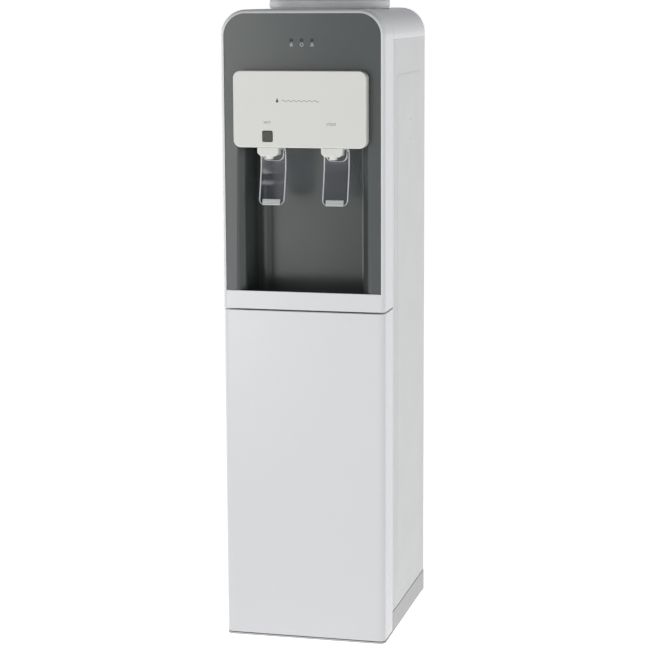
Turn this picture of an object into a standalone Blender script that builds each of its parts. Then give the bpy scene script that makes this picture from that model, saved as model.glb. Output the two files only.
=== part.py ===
"""A floor-standing hot and cold water dispenser that takes an inverted bottle on its top.

Metres, +Z up. The front faces -Y, and the origin is under the middle of the whole machine.
Heights of the upper half are set down from the top, and those of the lower half up from the floor.
"""

import math

import bmesh
import bpy
from mathutils import Matrix, Vector

# Overall sizes
BODY_WIDTH = 0.270
BODY_DEPTH = 0.330
BODY_TOP = 1.040
FOOT_HEIGHT = 0.006

# Walls and clearances
WALL = 0.0025  # moulded plastic
SHEET = 0.0012  # painted steel
GAP = 0.0003  # between pieces that touch
SEAM = 0.0015  # open joint line between two skins

# Outer skin
CORNER_RADIUS = 0.042  # top corners, seen from the front
EDGE_RADIUS = 0.008  # front edge of the frame
DOOR_EDGE_RADIUS = 0.010
FRAME_DEPTH = 0.0645
COVER_DROP = 0.049  # depth of the top cover's sides
LIP_WIDTH = 0.006
LIP_THICKNESS = 0.0015
BAND_HEIGHT = 0.0291  # rail under the alcove
DOOR_GAP = 0.0026
DOOR_DEPTH = 0.063
BASE_FLOOR = 0.003
BASE_HEIGHT = 0.035
FIELD_RAISE = 0.0008  # pressed field of a side panel
FIELD_MARGIN = (0.0375, 0.032, 0.025, 0.060)  # front, rear, bottom, top
RETURN_WIDTH = 0.0112  # folded edge of a side panel

# Alcove and its tray
ALCOVE_HEIGHT = 0.2573  # ceiling above the rail
ALCOVE_DEPTH = 0.0912  # back wall behind the fascia's face
ALCOVE_MARGIN = 0.0385  # alcove wall from the outer side
ALCOVE_CHAMFER = 0.012
ALCOVE_CORNER = 0.020
FASCIA_SETBACK = 0.0018
FASCIA_STEP = 0.003
TRAY_FRONT = 0.0175
TRAY_CLEARANCE = 0.002
TRAY_CORNER = 0.022
TRAY_WALL = 0.0018
GRILLE_THICKNESS = 0.0017
GRILLE_DROP = 0.016  # grille below the top of the rail
SLOT_WIDTH = 0.006
SLOT_PITCH = 0.0135

# Tap panel, taps and levers
PANEL_DROP = 0.096
PANEL_HEIGHT = 0.122
PANEL_MARGIN = 0.026
PANEL_PROUD = 0.017
PANEL_CORNER = 0.012
CEILING_RISE = 0.023  # alcove ceiling above the panel's lower edge
TAP_SPACING = 0.105
TAP_WIDTH = 0.0354
TAP_DROP = 0.014  # tap body below the panel
TAP_CLEARANCE = 0.0004
NOZZLE_RADIUS = 0.0065
NOZZLE_LENGTH = 0.004
OUTLET_RADIUS = 0.003
STEM_RADIUS = 0.0022
CHAMBER_RADIUS = 0.0042
STEM_RISE = 0.010  # valve stem above the lever's pivot
PIN_RADIUS = 0.00175
LEVER_WIDTH = 0.043
LEVER_FLARE = 0.001
LEVER_THICKNESS = 0.003
LEVER_RIM = 0.003
LEVER_LENGTH = 0.1045
PAD_WIDTH = 0.029
PAD_HEIGHT = 0.0096
BUTTON_WIDTH = 0.0162
BUTTON_HEIGHT = 0.017
BUTTON_RISE = 0.018
BUTTON_PROUD = 0.001
LENS_RADIUS = 0.00225
LENS_PITCH = 0.017
LENS_DROP = 0.0484

# Bottle seat and tanks
COLLAR_SETBACK = 0.140  # centre from the rear
COLLAR_RADIUS = 0.1005
COLLAR_HEIGHT = 0.014
NECK_RADIUS = 0.0335
TANK_RADIUS = 0.075
TANK_HEIGHT = 0.104
TANK_DROP = 0.056
COIL_RADIUS = 0.0025
FOAM_THICKNESS = 0.024
HOT_TANK_RADIUS = 0.050
HOT_TANK_HEIGHT = 0.160
HOT_TANK_SETBACK = 0.115
HOSE_RADIUS = 0.004

# Cabinet and machine space
CABINET_DEPTH = 0.134
CABINET_SIDE = 0.015
CABINET_FLOOR = 0.044
HINGE_INSET = 0.0055
HINGE_SETBACK = 0.0045
COMPRESSOR_RADIUS = 0.055
COMPRESSOR_HEIGHT = 0.165
COMPRESSOR_SETBACK = 0.068
REAR_OPENING_TOP = 0.250
SWITCH_LINE = 0.300
SWITCH_THROW = 14.0  # degrees between off and on
CONDENSER_PROUD = 0.022
CONDENSER_WIDTH = 0.200
CONDENSER_PITCH = 0.060
CONDENSER_BOTTOM = 0.360

# What follows from them
FRONT = (PANEL_PROUD + BUTTON_PROUD - BODY_DEPTH - CONDENSER_PROUD) / 2
REAR = FRONT + BODY_DEPTH
SIDE = BODY_WIDTH / 2
PANEL_TOP = BODY_TOP - PANEL_DROP
TAP_LINE = PANEL_TOP - PANEL_HEIGHT
CEILING = TAP_LINE + CEILING_RISE
BAND_TOP = CEILING - ALCOVE_HEIGHT
BAND_BOTTOM = BAND_TOP - BAND_HEIGHT
DOOR_TOP = BAND_BOTTOM - DOOR_GAP
BASE_TOP = FOOT_HEIGHT + BASE_HEIGHT
FLOOR_TOP = FOOT_HEIGHT + BASE_FLOOR
DOOR_BOTTOM = FLOOR_TOP + SEAM
SKIN_FRONT = FRONT + FRAME_DEPTH + SEAM
COVER_EDGE = BODY_TOP - COVER_DROP
FACE = FRONT + FASCIA_SETBACK
FLANGE = FACE + FASCIA_STEP
FASCIA_REAR = FLANGE + WALL
ALCOVE_BACK = FACE + ALCOVE_DEPTH
ALCOVE_HALF = SIDE - ALCOVE_MARGIN
GRILLE_TOP = BAND_TOP - GRILLE_DROP
WELL_BOTTOM = BAND_BOTTOM - SEAM + GAP
COLLAR_Y = REAR - COLLAR_SETBACK
COLLAR_BOTTOM = BODY_TOP + GAP
TANK_TOP = BODY_TOP - TANK_DROP
TANK_BOTTOM = TANK_TOP - TANK_HEIGHT
FOAM_INNER = TANK_RADIUS + 2 * COIL_RADIUS + 0.003
FOAM_BOTTOM = TANK_BOTTOM - 0.014
HOT_TANK_Y = REAR - HOT_TANK_SETBACK
HOT_TANK_TOP = CEILING - 0.050
PIVOT_Y = FRONT + 0.009
PIVOT_Z = TAP_LINE + 0.006
NOZZLE_Y = FRONT - 0.003
TAIL_Z = TAP_LINE + 0.0345
HINGE_X = -SIDE + HINGE_INSET
HINGE_Y = FRONT + DOOR_DEPTH - HINGE_SETBACK

AXES = {"x": (1, 2, 0), "y": (0, 2, 1), "z": (0, 1, 2)}


def clear_scene():
    for old in list(bpy.data.objects):
        bpy.data.objects.remove(old, do_unlink=True)


def add_object(name, mesh, at=(0, 0, 0)):
    made = bpy.data.objects.new(name, mesh)
    made.location = at
    bpy.context.scene.collection.objects.link(made)
    return made


def mesh_from(name, shape):
    """Turns a bmesh into a mesh with its faces pointing out."""
    bmesh.ops.recalc_face_normals(shape, faces=shape.faces)
    mesh = bpy.data.meshes.new(name)
    shape.to_mesh(mesh)
    shape.free()
    return mesh


def prism(name, outline, axis, start, end, at=(0, 0, 0)):
    """An outline drawn across an axis and extruded along it."""
    first, second, along = AXES[axis]
    shape = bmesh.new()
    corners = []
    for a, b in outline:
        place = [0.0, 0.0, 0.0]
        place[first] = a
        place[second] = b
        place[along] = start
        corners.append(shape.verts.new(place))
    face = shape.faces.new(corners)
    shift = Vector((0, 0, 0))
    shift[along] = end - start
    raised = bmesh.ops.extrude_face_region(shape, geom=[face])["geom"]
    moved = [part for part in raised if isinstance(part, bmesh.types.BMVert)]
    bmesh.ops.translate(shape, verts=moved, vec=shift)
    return add_object(name, mesh_from(name, shape), at)


def box(name, x, y, z, at=(0, 0, 0)):
    outline = [(x[0], y[0]), (x[1], y[0]), (x[1], y[1]), (x[0], y[1])]
    return prism(name, outline, "z", z[0], z[1], at)


def turned(name, profile, at=(0, 0, 0), axis="z", steps=24):
    """A closed profile of (radius, height) pairs turned about an axis."""
    first, second, along = AXES[axis]
    shape = bmesh.new()
    rings = []
    for radius, height in profile:
        ring = []
        for step in range(1 if radius == 0 else steps):
            angle = 2 * math.pi * step / steps
            place = [0.0, 0.0, 0.0]
            place[first] = radius * math.cos(angle)
            place[second] = radius * math.sin(angle)
            place[along] = height
            ring.append(shape.verts.new(place))
        rings.append(ring)
    closed = profile[0][0] != 0
    pairs = list(zip(rings, rings[1:]))
    if closed:
        pairs.append((rings[-1], rings[0]))
    for upper, lower in pairs:
        for step in range(steps):
            after = (step + 1) % steps
            around = [upper[step % len(upper)], upper[after % len(upper)]]
            around += [lower[after % len(lower)], lower[step % len(lower)]]
            corners = list(dict.fromkeys(around))
            shape.faces.new(corners)
    return add_object(name, mesh_from(name, shape), at)


def rod(name, radius, start, end, at=(0, 0, 0), axis="z", steps=16):
    return turned(name, [(0, end), (radius, end), (radius, start), (0, start)], at, axis, steps)


def tube(name, points, radius, resolution=1):
    """A pipe along a row of points, with capped ends."""
    curve = bpy.data.curves.new(name, "CURVE")
    curve.dimensions = "3D"
    curve.bevel_depth = radius
    curve.bevel_resolution = resolution
    curve.use_fill_caps = True
    line = curve.splines.new("POLY")
    line.points.add(len(points) - 1)
    for point, place in zip(line.points, points):
        point.co = (*place, 1.0)
    return add_object(name, curve)


def bent(corners, radius, steps=4):
    """Rounds the inner corners of a route with arcs."""
    route = [Vector(corners[0])]
    for before, corner, after in zip(corners, corners[1:], corners[2:]):
        corner = Vector(corner)
        back = (Vector(before) - corner).normalized()
        ahead = (Vector(after) - corner).normalized()
        for step in range(steps + 1):
            share = step / steps
            start = corner + back * radius * (1 - share)
            finish = corner + ahead * radius * share
            route.append(start.lerp(finish, share))
    route.append(Vector(corners[-1]))
    return route


def helix(centre, radius, start, end, turns, per_turn, axis="z"):
    first, second, along = AXES[axis]
    route = []
    for step in range(turns * per_turn + 1):
        angle = 2 * math.pi * step / per_turn
        place = list(centre)
        place[first] += radius * math.cos(angle)
        place[second] += radius * math.sin(angle)
        place[along] = start + (end - start) * step / (turns * per_turn)
        route.append(Vector(place))
    return route


def arc(centre, radius, start, end, steps):
    """Points on an arc, with its angles in degrees."""
    points = []
    for step in range(steps + 1):
        angle = math.radians(start + (end - start) * step / steps)
        points.append((centre[0] + radius * math.cos(angle), centre[1] + radius * math.sin(angle)))
    return points


def arch(half, bottom, top, radius, steps=8):
    """An outline with rounded upper corners and square lower ones."""
    right = arc((half - radius, top - radius), radius, 0, 90, steps)
    left = arc((radius - half, top - radius), radius, 90, 180, steps)
    return [(-half, bottom), (half, bottom)] + right + left


def rounded(x, y, radius, steps=4):
    """A rectangle with four rounded corners."""
    points = arc((x[1] - radius, y[1] - radius), radius, 0, 90, steps)
    points += arc((x[0] + radius, y[1] - radius), radius, 90, 180, steps)
    points += arc((x[0] + radius, y[0] + radius), radius, 180, 270, steps)
    points += arc((x[1] - radius, y[0] + radius), radius, 270, 360, steps)
    return points


def recess(half, front, back, corner, chamfer=0.0, steps=5):
    """The plan of a recess: open front, rounded rear corners, and an optional chamfered mouth."""
    points = [(-half, front + chamfer), (-half - chamfer, front)] if chamfer else [(-half, front)]
    points += [(half + chamfer, front), (half, front + chamfer)] if chamfer else [(half, front)]
    points += arc((half - corner, back - corner), corner, 0, 90, steps)
    points += arc((corner - half, back - corner), corner, 90, 180, steps)
    return points


def round_edges(piece, width, segments, chosen):
    """Rounds the edges whose two ends both satisfy a test."""
    shape = bmesh.new()
    shape.from_mesh(piece.data)
    edges = [edge for edge in shape.edges if chosen(edge.verts[0].co, edge.verts[1].co)]
    bmesh.ops.bevel(shape, geom=edges, offset=width, segments=segments, profile=0.5, affect="EDGES")
    bmesh.ops.recalc_face_normals(shape, faces=shape.faces)
    shape.to_mesh(piece.data)
    shape.free()


def combine(piece, operation, others):
    for other in others:
        other.hide_render = True
        other.display_type = "WIRE"
        step = piece.modifiers.new(operation.lower(), "BOOLEAN")
        step.operation = operation
        step.object = other
    return piece


def cut(piece, *others):
    return combine(piece, "DIFFERENCE", others)


def join(piece, *others):
    return combine(piece, "UNION", others)


def finish(piece, colour, roughness, metallic=0.0, alpha=1.0):
    """Gives a piece its own material and smooth shading that keeps the sharp edges."""
    look = bpy.data.materials.new(piece.name + "_finish")
    look.use_nodes = True
    shader = look.node_tree.nodes["Principled BSDF"]
    shader.inputs["Base Color"].default_value = (*colour, 1.0)
    shader.inputs["Roughness"].default_value = roughness
    shader.inputs["Metallic"].default_value = metallic
    shader.inputs["Alpha"].default_value = alpha
    piece.data.materials.append(look)
    if piece.type == "MESH":
        piece.data.shade_smooth()
        piece.data.set_sharp_from_angle(angle=math.radians(35))
    return piece


def pivot(name, place):
    """An empty on a joint's axis, for the pieces that move with it."""
    return add_object(name, None, place)


def hang(piece, parent):
    piece.parent = parent
    piece.matrix_parent_inverse = Matrix.Translation(parent.location).inverted()


SWITCHES = (("heat", 0.030, (0.5, 0.03, 0.02)), ("cool", 0.060, (0.03, 0.12, 0.45)))
LENSES = (("left", -LENS_PITCH), ("middle", 0.0), ("right", LENS_PITCH))
COIL_SPREAD = 0.030
OUTLETS = (("cold", 0.030, COLLAR_Y - 0.030), ("feed", -0.030, COLLAR_Y + 0.030))

WHITE = (0.66, 0.66, 0.65)
DARK_GREY = (0.105, 0.115, 0.112)
COLLAR_GREY = (0.28, 0.28, 0.28)
STEEL = (0.62, 0.63, 0.64)
COPPER = (0.72, 0.38, 0.24)
BLACK = (0.02, 0.02, 0.022)
SILICONE = (0.55, 0.56, 0.56)


def build_base():
    outline = arc((SIDE - DOOR_EDGE_RADIUS, FRONT + DOOR_EDGE_RADIUS), DOOR_EDGE_RADIUS, 270, 360, 5)
    outline += [(SIDE, REAR), (-SIDE, REAR)]
    outline += arc((DOOR_EDGE_RADIUS - SIDE, FRONT + DOOR_EDGE_RADIUS), DOOR_EDGE_RADIUS, 180, 270, 5)
    tray = prism("base_tray", outline, "z", FOOT_HEIGHT, BASE_TOP)
    inner = SIDE - WALL - GAP
    pocket = box("base_pocket", (-inner, inner), (FRONT - WALL, REAR - WALL), (FLOOR_TOP, BASE_TOP + WALL))
    step = box("base_step", (-SIDE - WALL, SIDE + WALL), (FRONT - WALL, SKIN_FRONT), (FLOOR_TOP, BASE_TOP + WALL))
    cut(tray, pocket, step)
    hinge_hole = rod("base_hinge_hole", PIN_RADIUS + 2 * GAP, FOOT_HEIGHT - WALL, FLOOR_TOP + WALL,
                     (HINGE_X, HINGE_Y, 0), steps=12)
    cut(tray, hinge_hole)
    names = {(-1, -1): "front_left", (1, -1): "front_right", (-1, 1): "rear_left", (1, 1): "rear_right"}
    for (side, end), place in names.items():
        x = side * (SIDE - 0.028)
        y = FRONT + 0.040 if end < 0 else REAR - 0.032
        cut(tray, rod("foot_hole_" + place, 0.0043, FOOT_HEIGHT - WALL, FLOOR_TOP + WALL, (x, y, 0), steps=12))
        under = FOOT_HEIGHT - GAP
        stem_top = FLOOR_TOP + 0.001
        profile = [(0, stem_top), (0.0037, stem_top), (0.0037, under), (0.014, under)]
        profile += [(0.014, 0.0015), (0.0125, 0.0), (0, 0.0)]
        finish(turned("foot_" + place, profile, (x, y, 0), steps=16), BLACK, 0.7)
    finish(tray, (0.46, 0.46, 0.45), 0.45)


def panel_offset(y, z, bottom, top):
    """How far a side panel's skin stands out at a place: 1 on the pressed field, 0 around it."""
    front, rear, below, above = FIELD_MARGIN
    inside = SKIN_FRONT + front - GAP < y < REAR - rear + GAP
    return 1 if inside and bottom + below - GAP < z < top - above + GAP else 0


def build_side_panel(name, side):
    """A sheet folded at its front and rear edges, with a pressed field between them."""
    bottom = BASE_TOP + GAP
    top = COVER_EDGE - GAP
    front, rear, below, above = FIELD_MARGIN
    ramp = 0.004
    groove = SKIN_FRONT + 0.015
    plan = [SKIN_FRONT, groove - 0.002, groove, groove + 0.002]
    plan += [SKIN_FRONT + front - ramp, SKIN_FRONT + front, REAR - rear, REAR - rear + ramp, REAR]
    levels = [bottom, bottom + below - ramp, bottom + below, top - above, top - above + ramp, top]
    flat = SIDE - FIELD_RAISE
    shape = bmesh.new()
    columns = []
    edge = flat - RETURN_WIDTH
    for index, y in enumerate([plan[0]] + plan + [plan[-1]]):
        folded = index in (0, len(plan) + 1)
        column = []
        for z in levels:
            x = edge if folded else flat + FIELD_RAISE * panel_offset(y, z, bottom, top)
            if y == groove and not folded:
                x = flat - 0.0006
            column.append(shape.verts.new((side * x, y, z)))
        columns.append(column)
    for left, right in zip(columns, columns[1:]):
        for low in range(len(levels) - 1):
            shape.faces.new([left[low], right[low], right[low + 1], left[low + 1]])
    bmesh.ops.recalc_face_normals(shape, faces=shape.faces)
    for face in shape.faces:
        middle = face.calc_center_median()
        if face.normal.x * side < -0.5 and abs(middle.x) > edge + SHEET:
            face.normal_flip()
    mesh = bpy.data.meshes.new(name)
    shape.to_mesh(mesh)
    shape.free()
    panel = add_object(name, mesh)
    solid = panel.modifiers.new("sheet", "SOLIDIFY")
    solid.thickness = SHEET
    solid.offset = -1
    solid.use_even_offset = True
    finish(panel, (0.60, 0.60, 0.59), 0.38)


def build_rear_panel():
    half = SIDE - FIELD_RAISE - SHEET - 0.0015
    panel = box("rear_panel", (-half, half), (REAR - 2 * SHEET - 2 * GAP, REAR - SHEET - GAP),
                (REAR_OPENING_TOP, COVER_EDGE - GAP))
    through = (REAR - 4 * SHEET, REAR + SHEET)
    for name, x, colour in SWITCHES:
        hole = box("cut_switch_" + name, (x - 0.0068, x + 0.0068), through,
                   (SWITCH_LINE - 0.0103, SWITCH_LINE + 0.0103))
        cut(panel, hole)
    cut(panel, rod("cut_gland", 0.0083, through[0], through[1], (0.100, 0, SWITCH_LINE), "y", 16))
    cut(panel, rod("cut_drain", 0.0093, through[0], through[1], (-0.085, 0, SWITCH_LINE), "y", 16))
    for row in range(5):
        level = SWITCH_LINE + 0.020
        x = -0.050 + 0.012 * row
        cut(panel, box("cut_vent_%d" % row, (x, x + 0.004), through, (level - 0.040, level)))
    finish(panel, (0.50, 0.50, 0.50), 0.5, 0.2)


def build_top_cover():
    cover = prism("top_cover", arch(SIDE, COVER_EDGE, BODY_TOP, CORNER_RADIUS), "y", SKIN_FRONT, REAR)
    inner = arch(SIDE - WALL, COVER_EDGE - WALL, BODY_TOP - WALL, CORNER_RADIUS - WALL)
    pocket = prism("cover_pocket", inner, "y", SKIN_FRONT - WALL, REAR - WALL)
    hole = rod("cover_hole", COLLAR_RADIUS - 0.0085, BODY_TOP - 2 * WALL, BODY_TOP + WALL, (0, COLLAR_Y, 0), steps=32)
    cut(cover, pocket, hole)
    finish(cover, WHITE, 0.32)


def build_bottle_seat():
    seat = pivot("bottle_seat_axis", (0, COLLAR_Y, COLLAR_BOTTOM))
    top = BODY_TOP + COLLAR_HEIGHT
    throat = BODY_TOP - 0.028
    neck_end = TANK_TOP - 0.006
    outside = NECK_RADIUS + 0.002
    profile = [(COLLAR_RADIUS, COLLAR_BOTTOM), (COLLAR_RADIUS, top - 0.0025), (COLLAR_RADIUS - 0.0025, top)]
    profile += [(COLLAR_RADIUS - 0.0115, top), (COLLAR_RADIUS - 0.0145, top - 0.004)]
    profile += [(NECK_RADIUS + 0.003, throat), (NECK_RADIUS, throat - 0.004)]
    profile += [(NECK_RADIUS, neck_end + 0.003), (NECK_RADIUS - 0.003, neck_end + 0.003)]
    profile += [(NECK_RADIUS - 0.003, neck_end), (outside, neck_end), (outside, throat - 0.005)]
    profile += [(NECK_RADIUS + 0.0045, throat - 0.0025), (COLLAR_RADIUS - 0.0115, COLLAR_BOTTOM)]
    collar = turned("bottle_collar", profile, (0, COLLAR_Y, 0), steps=32)
    hang(finish(collar, COLLAR_GREY, 0.4), seat)
    foot = neck_end + 0.003 + GAP
    flange = NECK_RADIUS - GAP
    profile = [(0.008, foot), (0.008, top - 0.016), (0.004, top - 0.010), (0.0055, top - 0.0085)]
    profile += [(0.011, top - 0.020), (0.011, foot + 0.0035), (flange, foot + 0.003), (flange, foot)]
    spike = turned("bottle_spike", profile, (0, COLLAR_Y, 0), steps=20)
    for quarter in range(4):
        angle = math.radians(45 + 90 * quarter)
        reach = (flange + 0.011) / 2
        place = (reach * math.cos(angle), COLLAR_Y + reach * math.sin(angle), 0)
        cut(spike, rod("spike_hole_%d" % quarter, 0.006, foot - 0.002, foot + 0.006, place, steps=10))
    hang(finish(spike, SILICONE, 0.35), seat)


def build_frame():
    frame = prism("front_frame", arch(SIDE, BAND_BOTTOM, BODY_TOP, CORNER_RADIUS), "y", FRONT, FRONT + FRAME_DEPTH)
    inner_edge = EDGE_RADIUS - 0.002

    def front_rim(a, b):
        return a.y < FRONT + GAP and b.y < FRONT + GAP and max(a.z, b.z) > BAND_BOTTOM + GAP

    round_edges(frame, EDGE_RADIUS, 4, front_rim)
    inside = arch(SIDE - WALL, BAND_BOTTOM + WALL, BODY_TOP - WALL, CORNER_RADIUS - WALL)
    pocket = prism("frame_pocket", inside, "y", FRONT + LIP_THICKNESS, FRONT + FRAME_DEPTH + WALL)

    def pocket_rim(a, b):
        level = FRONT + LIP_THICKNESS + GAP
        return a.y < level and b.y < level and max(a.z, b.z) > BAND_BOTTOM + WALL + GAP

    round_edges(pocket, inner_edge, 4, pocket_rim)
    mouth = arch(SIDE - LIP_WIDTH, BAND_TOP, BODY_TOP - LIP_WIDTH, CORNER_RADIUS - LIP_WIDTH, steps=10)
    opening = prism("frame_opening", mouth, "y", FRONT - WALL, FRONT + EDGE_RADIUS)
    well = ALCOVE_HALF + WALL + SEAM
    relief = box("frame_relief", (-well, well), (FRONT + 0.012, FRONT + FRAME_DEPTH + WALL),
                 (BAND_BOTTOM - WALL, BAND_BOTTOM + 2 * WALL))
    hole = rod("frame_hinge_hole", PIN_RADIUS + 2 * GAP, BAND_BOTTOM - WALL, BAND_BOTTOM + 2 * WALL,
               (HINGE_X, HINGE_Y, 0), steps=12)
    cut(frame, pocket, opening, relief, hole)
    finish(frame, WHITE, 0.28)


def build_fascia():
    flange_drop = LIP_WIDTH - 0.002
    plate = arch(SIDE - flange_drop, BAND_BOTTOM + WALL + GAP, BODY_TOP - flange_drop, CORNER_RADIUS - flange_drop)
    fascia = prism("fascia", plate, "y", FLANGE, FASCIA_REAR)
    inset = LIP_WIDTH + GAP
    face = arch(SIDE - inset, BAND_TOP + GAP, BODY_TOP - inset, CORNER_RADIUS - inset)
    raised = prism("fascia_face", face, "y", FACE, FLANGE + WALL / 2)
    outer = recess(ALCOVE_HALF + WALL, FLANGE, ALCOVE_BACK + WALL, ALCOVE_CORNER + WALL, ALCOVE_CHAMFER)
    shell = prism("alcove_shell", outer, "z", WELL_BOTTOM + 0.006, CEILING + WALL)
    well_front = FRONT + TRAY_FRONT - TRAY_CLEARANCE
    outer = recess(ALCOVE_HALF + WALL, well_front - WALL, ALCOVE_BACK + WALL, ALCOVE_CORNER + WALL)
    well = prism("well_shell", outer, "z", WELL_BOTTOM, GRILLE_TOP)
    join(fascia, raised, shell, well)
    inner = recess(ALCOVE_HALF, FACE, ALCOVE_BACK, ALCOVE_CORNER, ALCOVE_CHAMFER)
    inner[1] = (inner[1][0] - WALL, FACE - WALL)
    inner[2] = (inner[2][0] + WALL, FACE - WALL)
    hollow = prism("alcove_hollow", inner, "z", GRILLE_TOP, CEILING)
    half = ALCOVE_HALF - TRAY_CLEARANCE
    plan = recess(half, well_front, ALCOVE_BACK - 0.0005, ALCOVE_CORNER - 0.0005)
    seat = prism("well_hollow", plan, "z", WELL_BOTTOM + 0.0015, GRILLE_TOP + WALL)
    cut(fascia, hollow, seat)
    for name, x in LENSES:
        place = (x, 0, BODY_TOP - LENS_DROP)
        cut(fascia, rod("lens_hole_" + name, LENS_RADIUS + GAP, FRONT - WALL, FASCIA_REAR + WALL, place, "y", 16))
    for side in (-1, 1):
        place = (side * TAP_SPACING / 2, 0, TAIL_Z)
        cut(fascia, rod("tail_hole_%d" % side, 0.0058, FRONT - WALL, FASCIA_REAR + WALL, place, "y", 16))
    finish(fascia, DARK_GREY, 0.42)


def build_indicators():
    """Three clear pegs on one moulded bar, and the circuit board behind them."""
    height = BODY_TOP - LENS_DROP
    back = FASCIA_REAR + GAP
    reach = LENS_PITCH + 0.0045
    guide = box("light_guide", (-reach, reach), (back, back + 0.0015), (height - 0.0035, height + 0.0035))
    for name, x in LENSES:
        join(guide, rod("lens_peg_" + name, LENS_RADIUS, FACE, back + 0.0008, (x, 0, height), "y", 16))
    finish(guide, BLACK, 0.2)
    front = back + 0.0015 + GAP
    board = box("indicator_board", (-0.032, 0.032), (front, front + 0.0016), (height - 0.013, height + 0.010))
    finish(board, (0.02, 0.12, 0.05), 0.5)


def build_tap_panel():
    half = SIDE - PANEL_MARGIN
    outline = rounded((-half, half), (TAP_LINE, PANEL_TOP), PANEL_CORNER, 5)
    face = FRONT - PANEL_PROUD
    panel = prism("tap_panel", outline, "y", face, FACE - GAP)
    round_edges(panel, 0.002, 3, lambda a, b: a.y < face + GAP and b.y < face + GAP)
    inside = rounded((WALL - half, half - WALL), (TAP_LINE + WALL, PANEL_TOP - WALL), PANEL_CORNER - WALL, 5)
    pocket = prism("panel_pocket", inside, "y", face + WALL, FACE + WALL)
    cut(panel, pocket)
    reach = TAP_WIDTH / 2 + TAP_CLEARANCE
    for side in (-1, 1):
        x = side * TAP_SPACING / 2
        notch = box("tap_notch_%d" % side, (x - reach, x + reach), (face + WALL, FACE + WALL),
                    (TAP_LINE - WALL, TAP_LINE + 2 * WALL))
        cut(panel, notch)
    x = -TAP_SPACING / 2
    middle = TAP_LINE + BUTTON_RISE
    half_width = BUTTON_WIDTH / 2 + GAP
    half_height = BUTTON_HEIGHT / 2 + GAP
    hole = prism("button_hole", rounded((x - half_width, x + half_width), (middle - half_height, middle + half_height),
                                        0.0015, 2), "y", face - WALL, face + 2 * WALL)
    cut(panel, hole)
    finish(panel, (0.64, 0.64, 0.61), 0.3)
    slide = pivot("lock_axis", (x, face, middle))
    inset = GAP
    outline = rounded((x - half_width + inset, x + half_width - inset),
                      (middle - half_height + inset, middle + half_height - inset), 0.0013, 2)
    button = prism("child_lock_button", outline, "y", face - BUTTON_PROUD, face + WALL + 0.001)
    round_edges(button, 0.0006, 2, lambda a, b: a.y < face - BUTTON_PROUD + GAP and b.y < face - BUTTON_PROUD + GAP)
    back = box("button_flange", (x - half_width - 0.001, x + half_width + 0.001),
               (face + WALL + GAP, face + WALL + 0.0018), (middle - half_height - 0.001, middle + half_height + 0.001))
    join(button, back)
    hang(finish(button, (0.085, 0.09, 0.08), 0.45), slide)


def build_tap(name, x):
    """A tap body with its nozzle, its valve chamber and the tail that carries it through the fascia."""
    half = TAP_WIDTH / 2
    low = TAP_LINE - TAP_DROP
    at = (x, 0, 0)
    outline = [(0.006 - half, low), (half - 0.006, low), (half, low + 0.005), (half, TAP_LINE - GAP)]
    outline += [(-half, TAP_LINE - GAP), (-half, low + 0.005)]
    body = prism("tap_body_" + name, outline, "y", FRONT - PANEL_PROUD + 0.0008, FRONT + 0.0155, at)
    upper = box("tap_upper_" + name, (-half, half), (FRONT - 0.009, FRONT + 0.0125),
                (TAP_LINE - 0.004, CEILING - 2 * GAP), at)
    neck = box("tap_neck_" + name, (-0.009, 0.009), (FRONT - 0.009, FACE - 2 * GAP), (CEILING - 0.002, TAIL_Z + 0.0085), at)
    tail = rod("tap_tail_" + name, 0.0055, FRONT - 0.002, FRONT + 0.022, (x, 0, TAIL_Z), "y")
    nozzle = rod("tap_nozzle_" + name, NOZZLE_RADIUS, low - NOZZLE_LENGTH, low + 0.004, (x, NOZZLE_Y, 0))
    join(body, upper, neck, tail, nozzle)
    drop = rod("tap_drop_" + name, OUTLET_RADIUS, low - 0.008, TAIL_Z + 0.0005, (x, NOZZLE_Y, 0), steps=12)
    feed = rod("tap_feed_" + name, OUTLET_RADIUS, NOZZLE_Y, FRONT + 0.030, (x, 0, TAIL_Z), "y", 12)
    chamber = rod("tap_chamber_" + name, CHAMBER_RADIUS, FRONT - 0.0065, FRONT + 0.020, (x, 0, PIVOT_Z + STEM_RISE), "y")
    pin_hole = rod("tap_pin_hole_" + name, PIN_RADIUS + GAP, -half - WALL, half + WALL, (x, PIVOT_Y, PIVOT_Z), "x", 12)
    cut(body, drop, feed, chamber, pin_hole)
    finish(body, (0.64, 0.64, 0.61), 0.3)
    reach = LEVER_WIDTH / 2
    pin = rod("lever_pin_" + name, PIN_RADIUS, -reach, reach, (x, PIVOT_Y, PIVOT_Z), "x", 12)
    finish(pin, STEEL, 0.25, 1.0)


def lever_profile(front, back):
    """The side view of the blade as (y, z) points: straight behind the tap, then curving forward."""
    places = []
    top = PIVOT_Z + 0.013
    for step in range(13):
        drop = step / 12
        z = top - drop * (LEVER_LENGTH + 0.013)
        bow = 0.0020 * math.sin(math.pi * min(drop / 0.62, 1.0))
        sweep = max(drop - 0.42, 0.0) / 0.58
        y = FRONT + 0.0183 + bow - 0.0150 * sweep ** 1.6
        places.append((y, z))
    ahead = [(y - front, z) for y, z in places]
    behind = [(y + back, z) for y, z in reversed(places)]
    return ahead + behind


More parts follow.
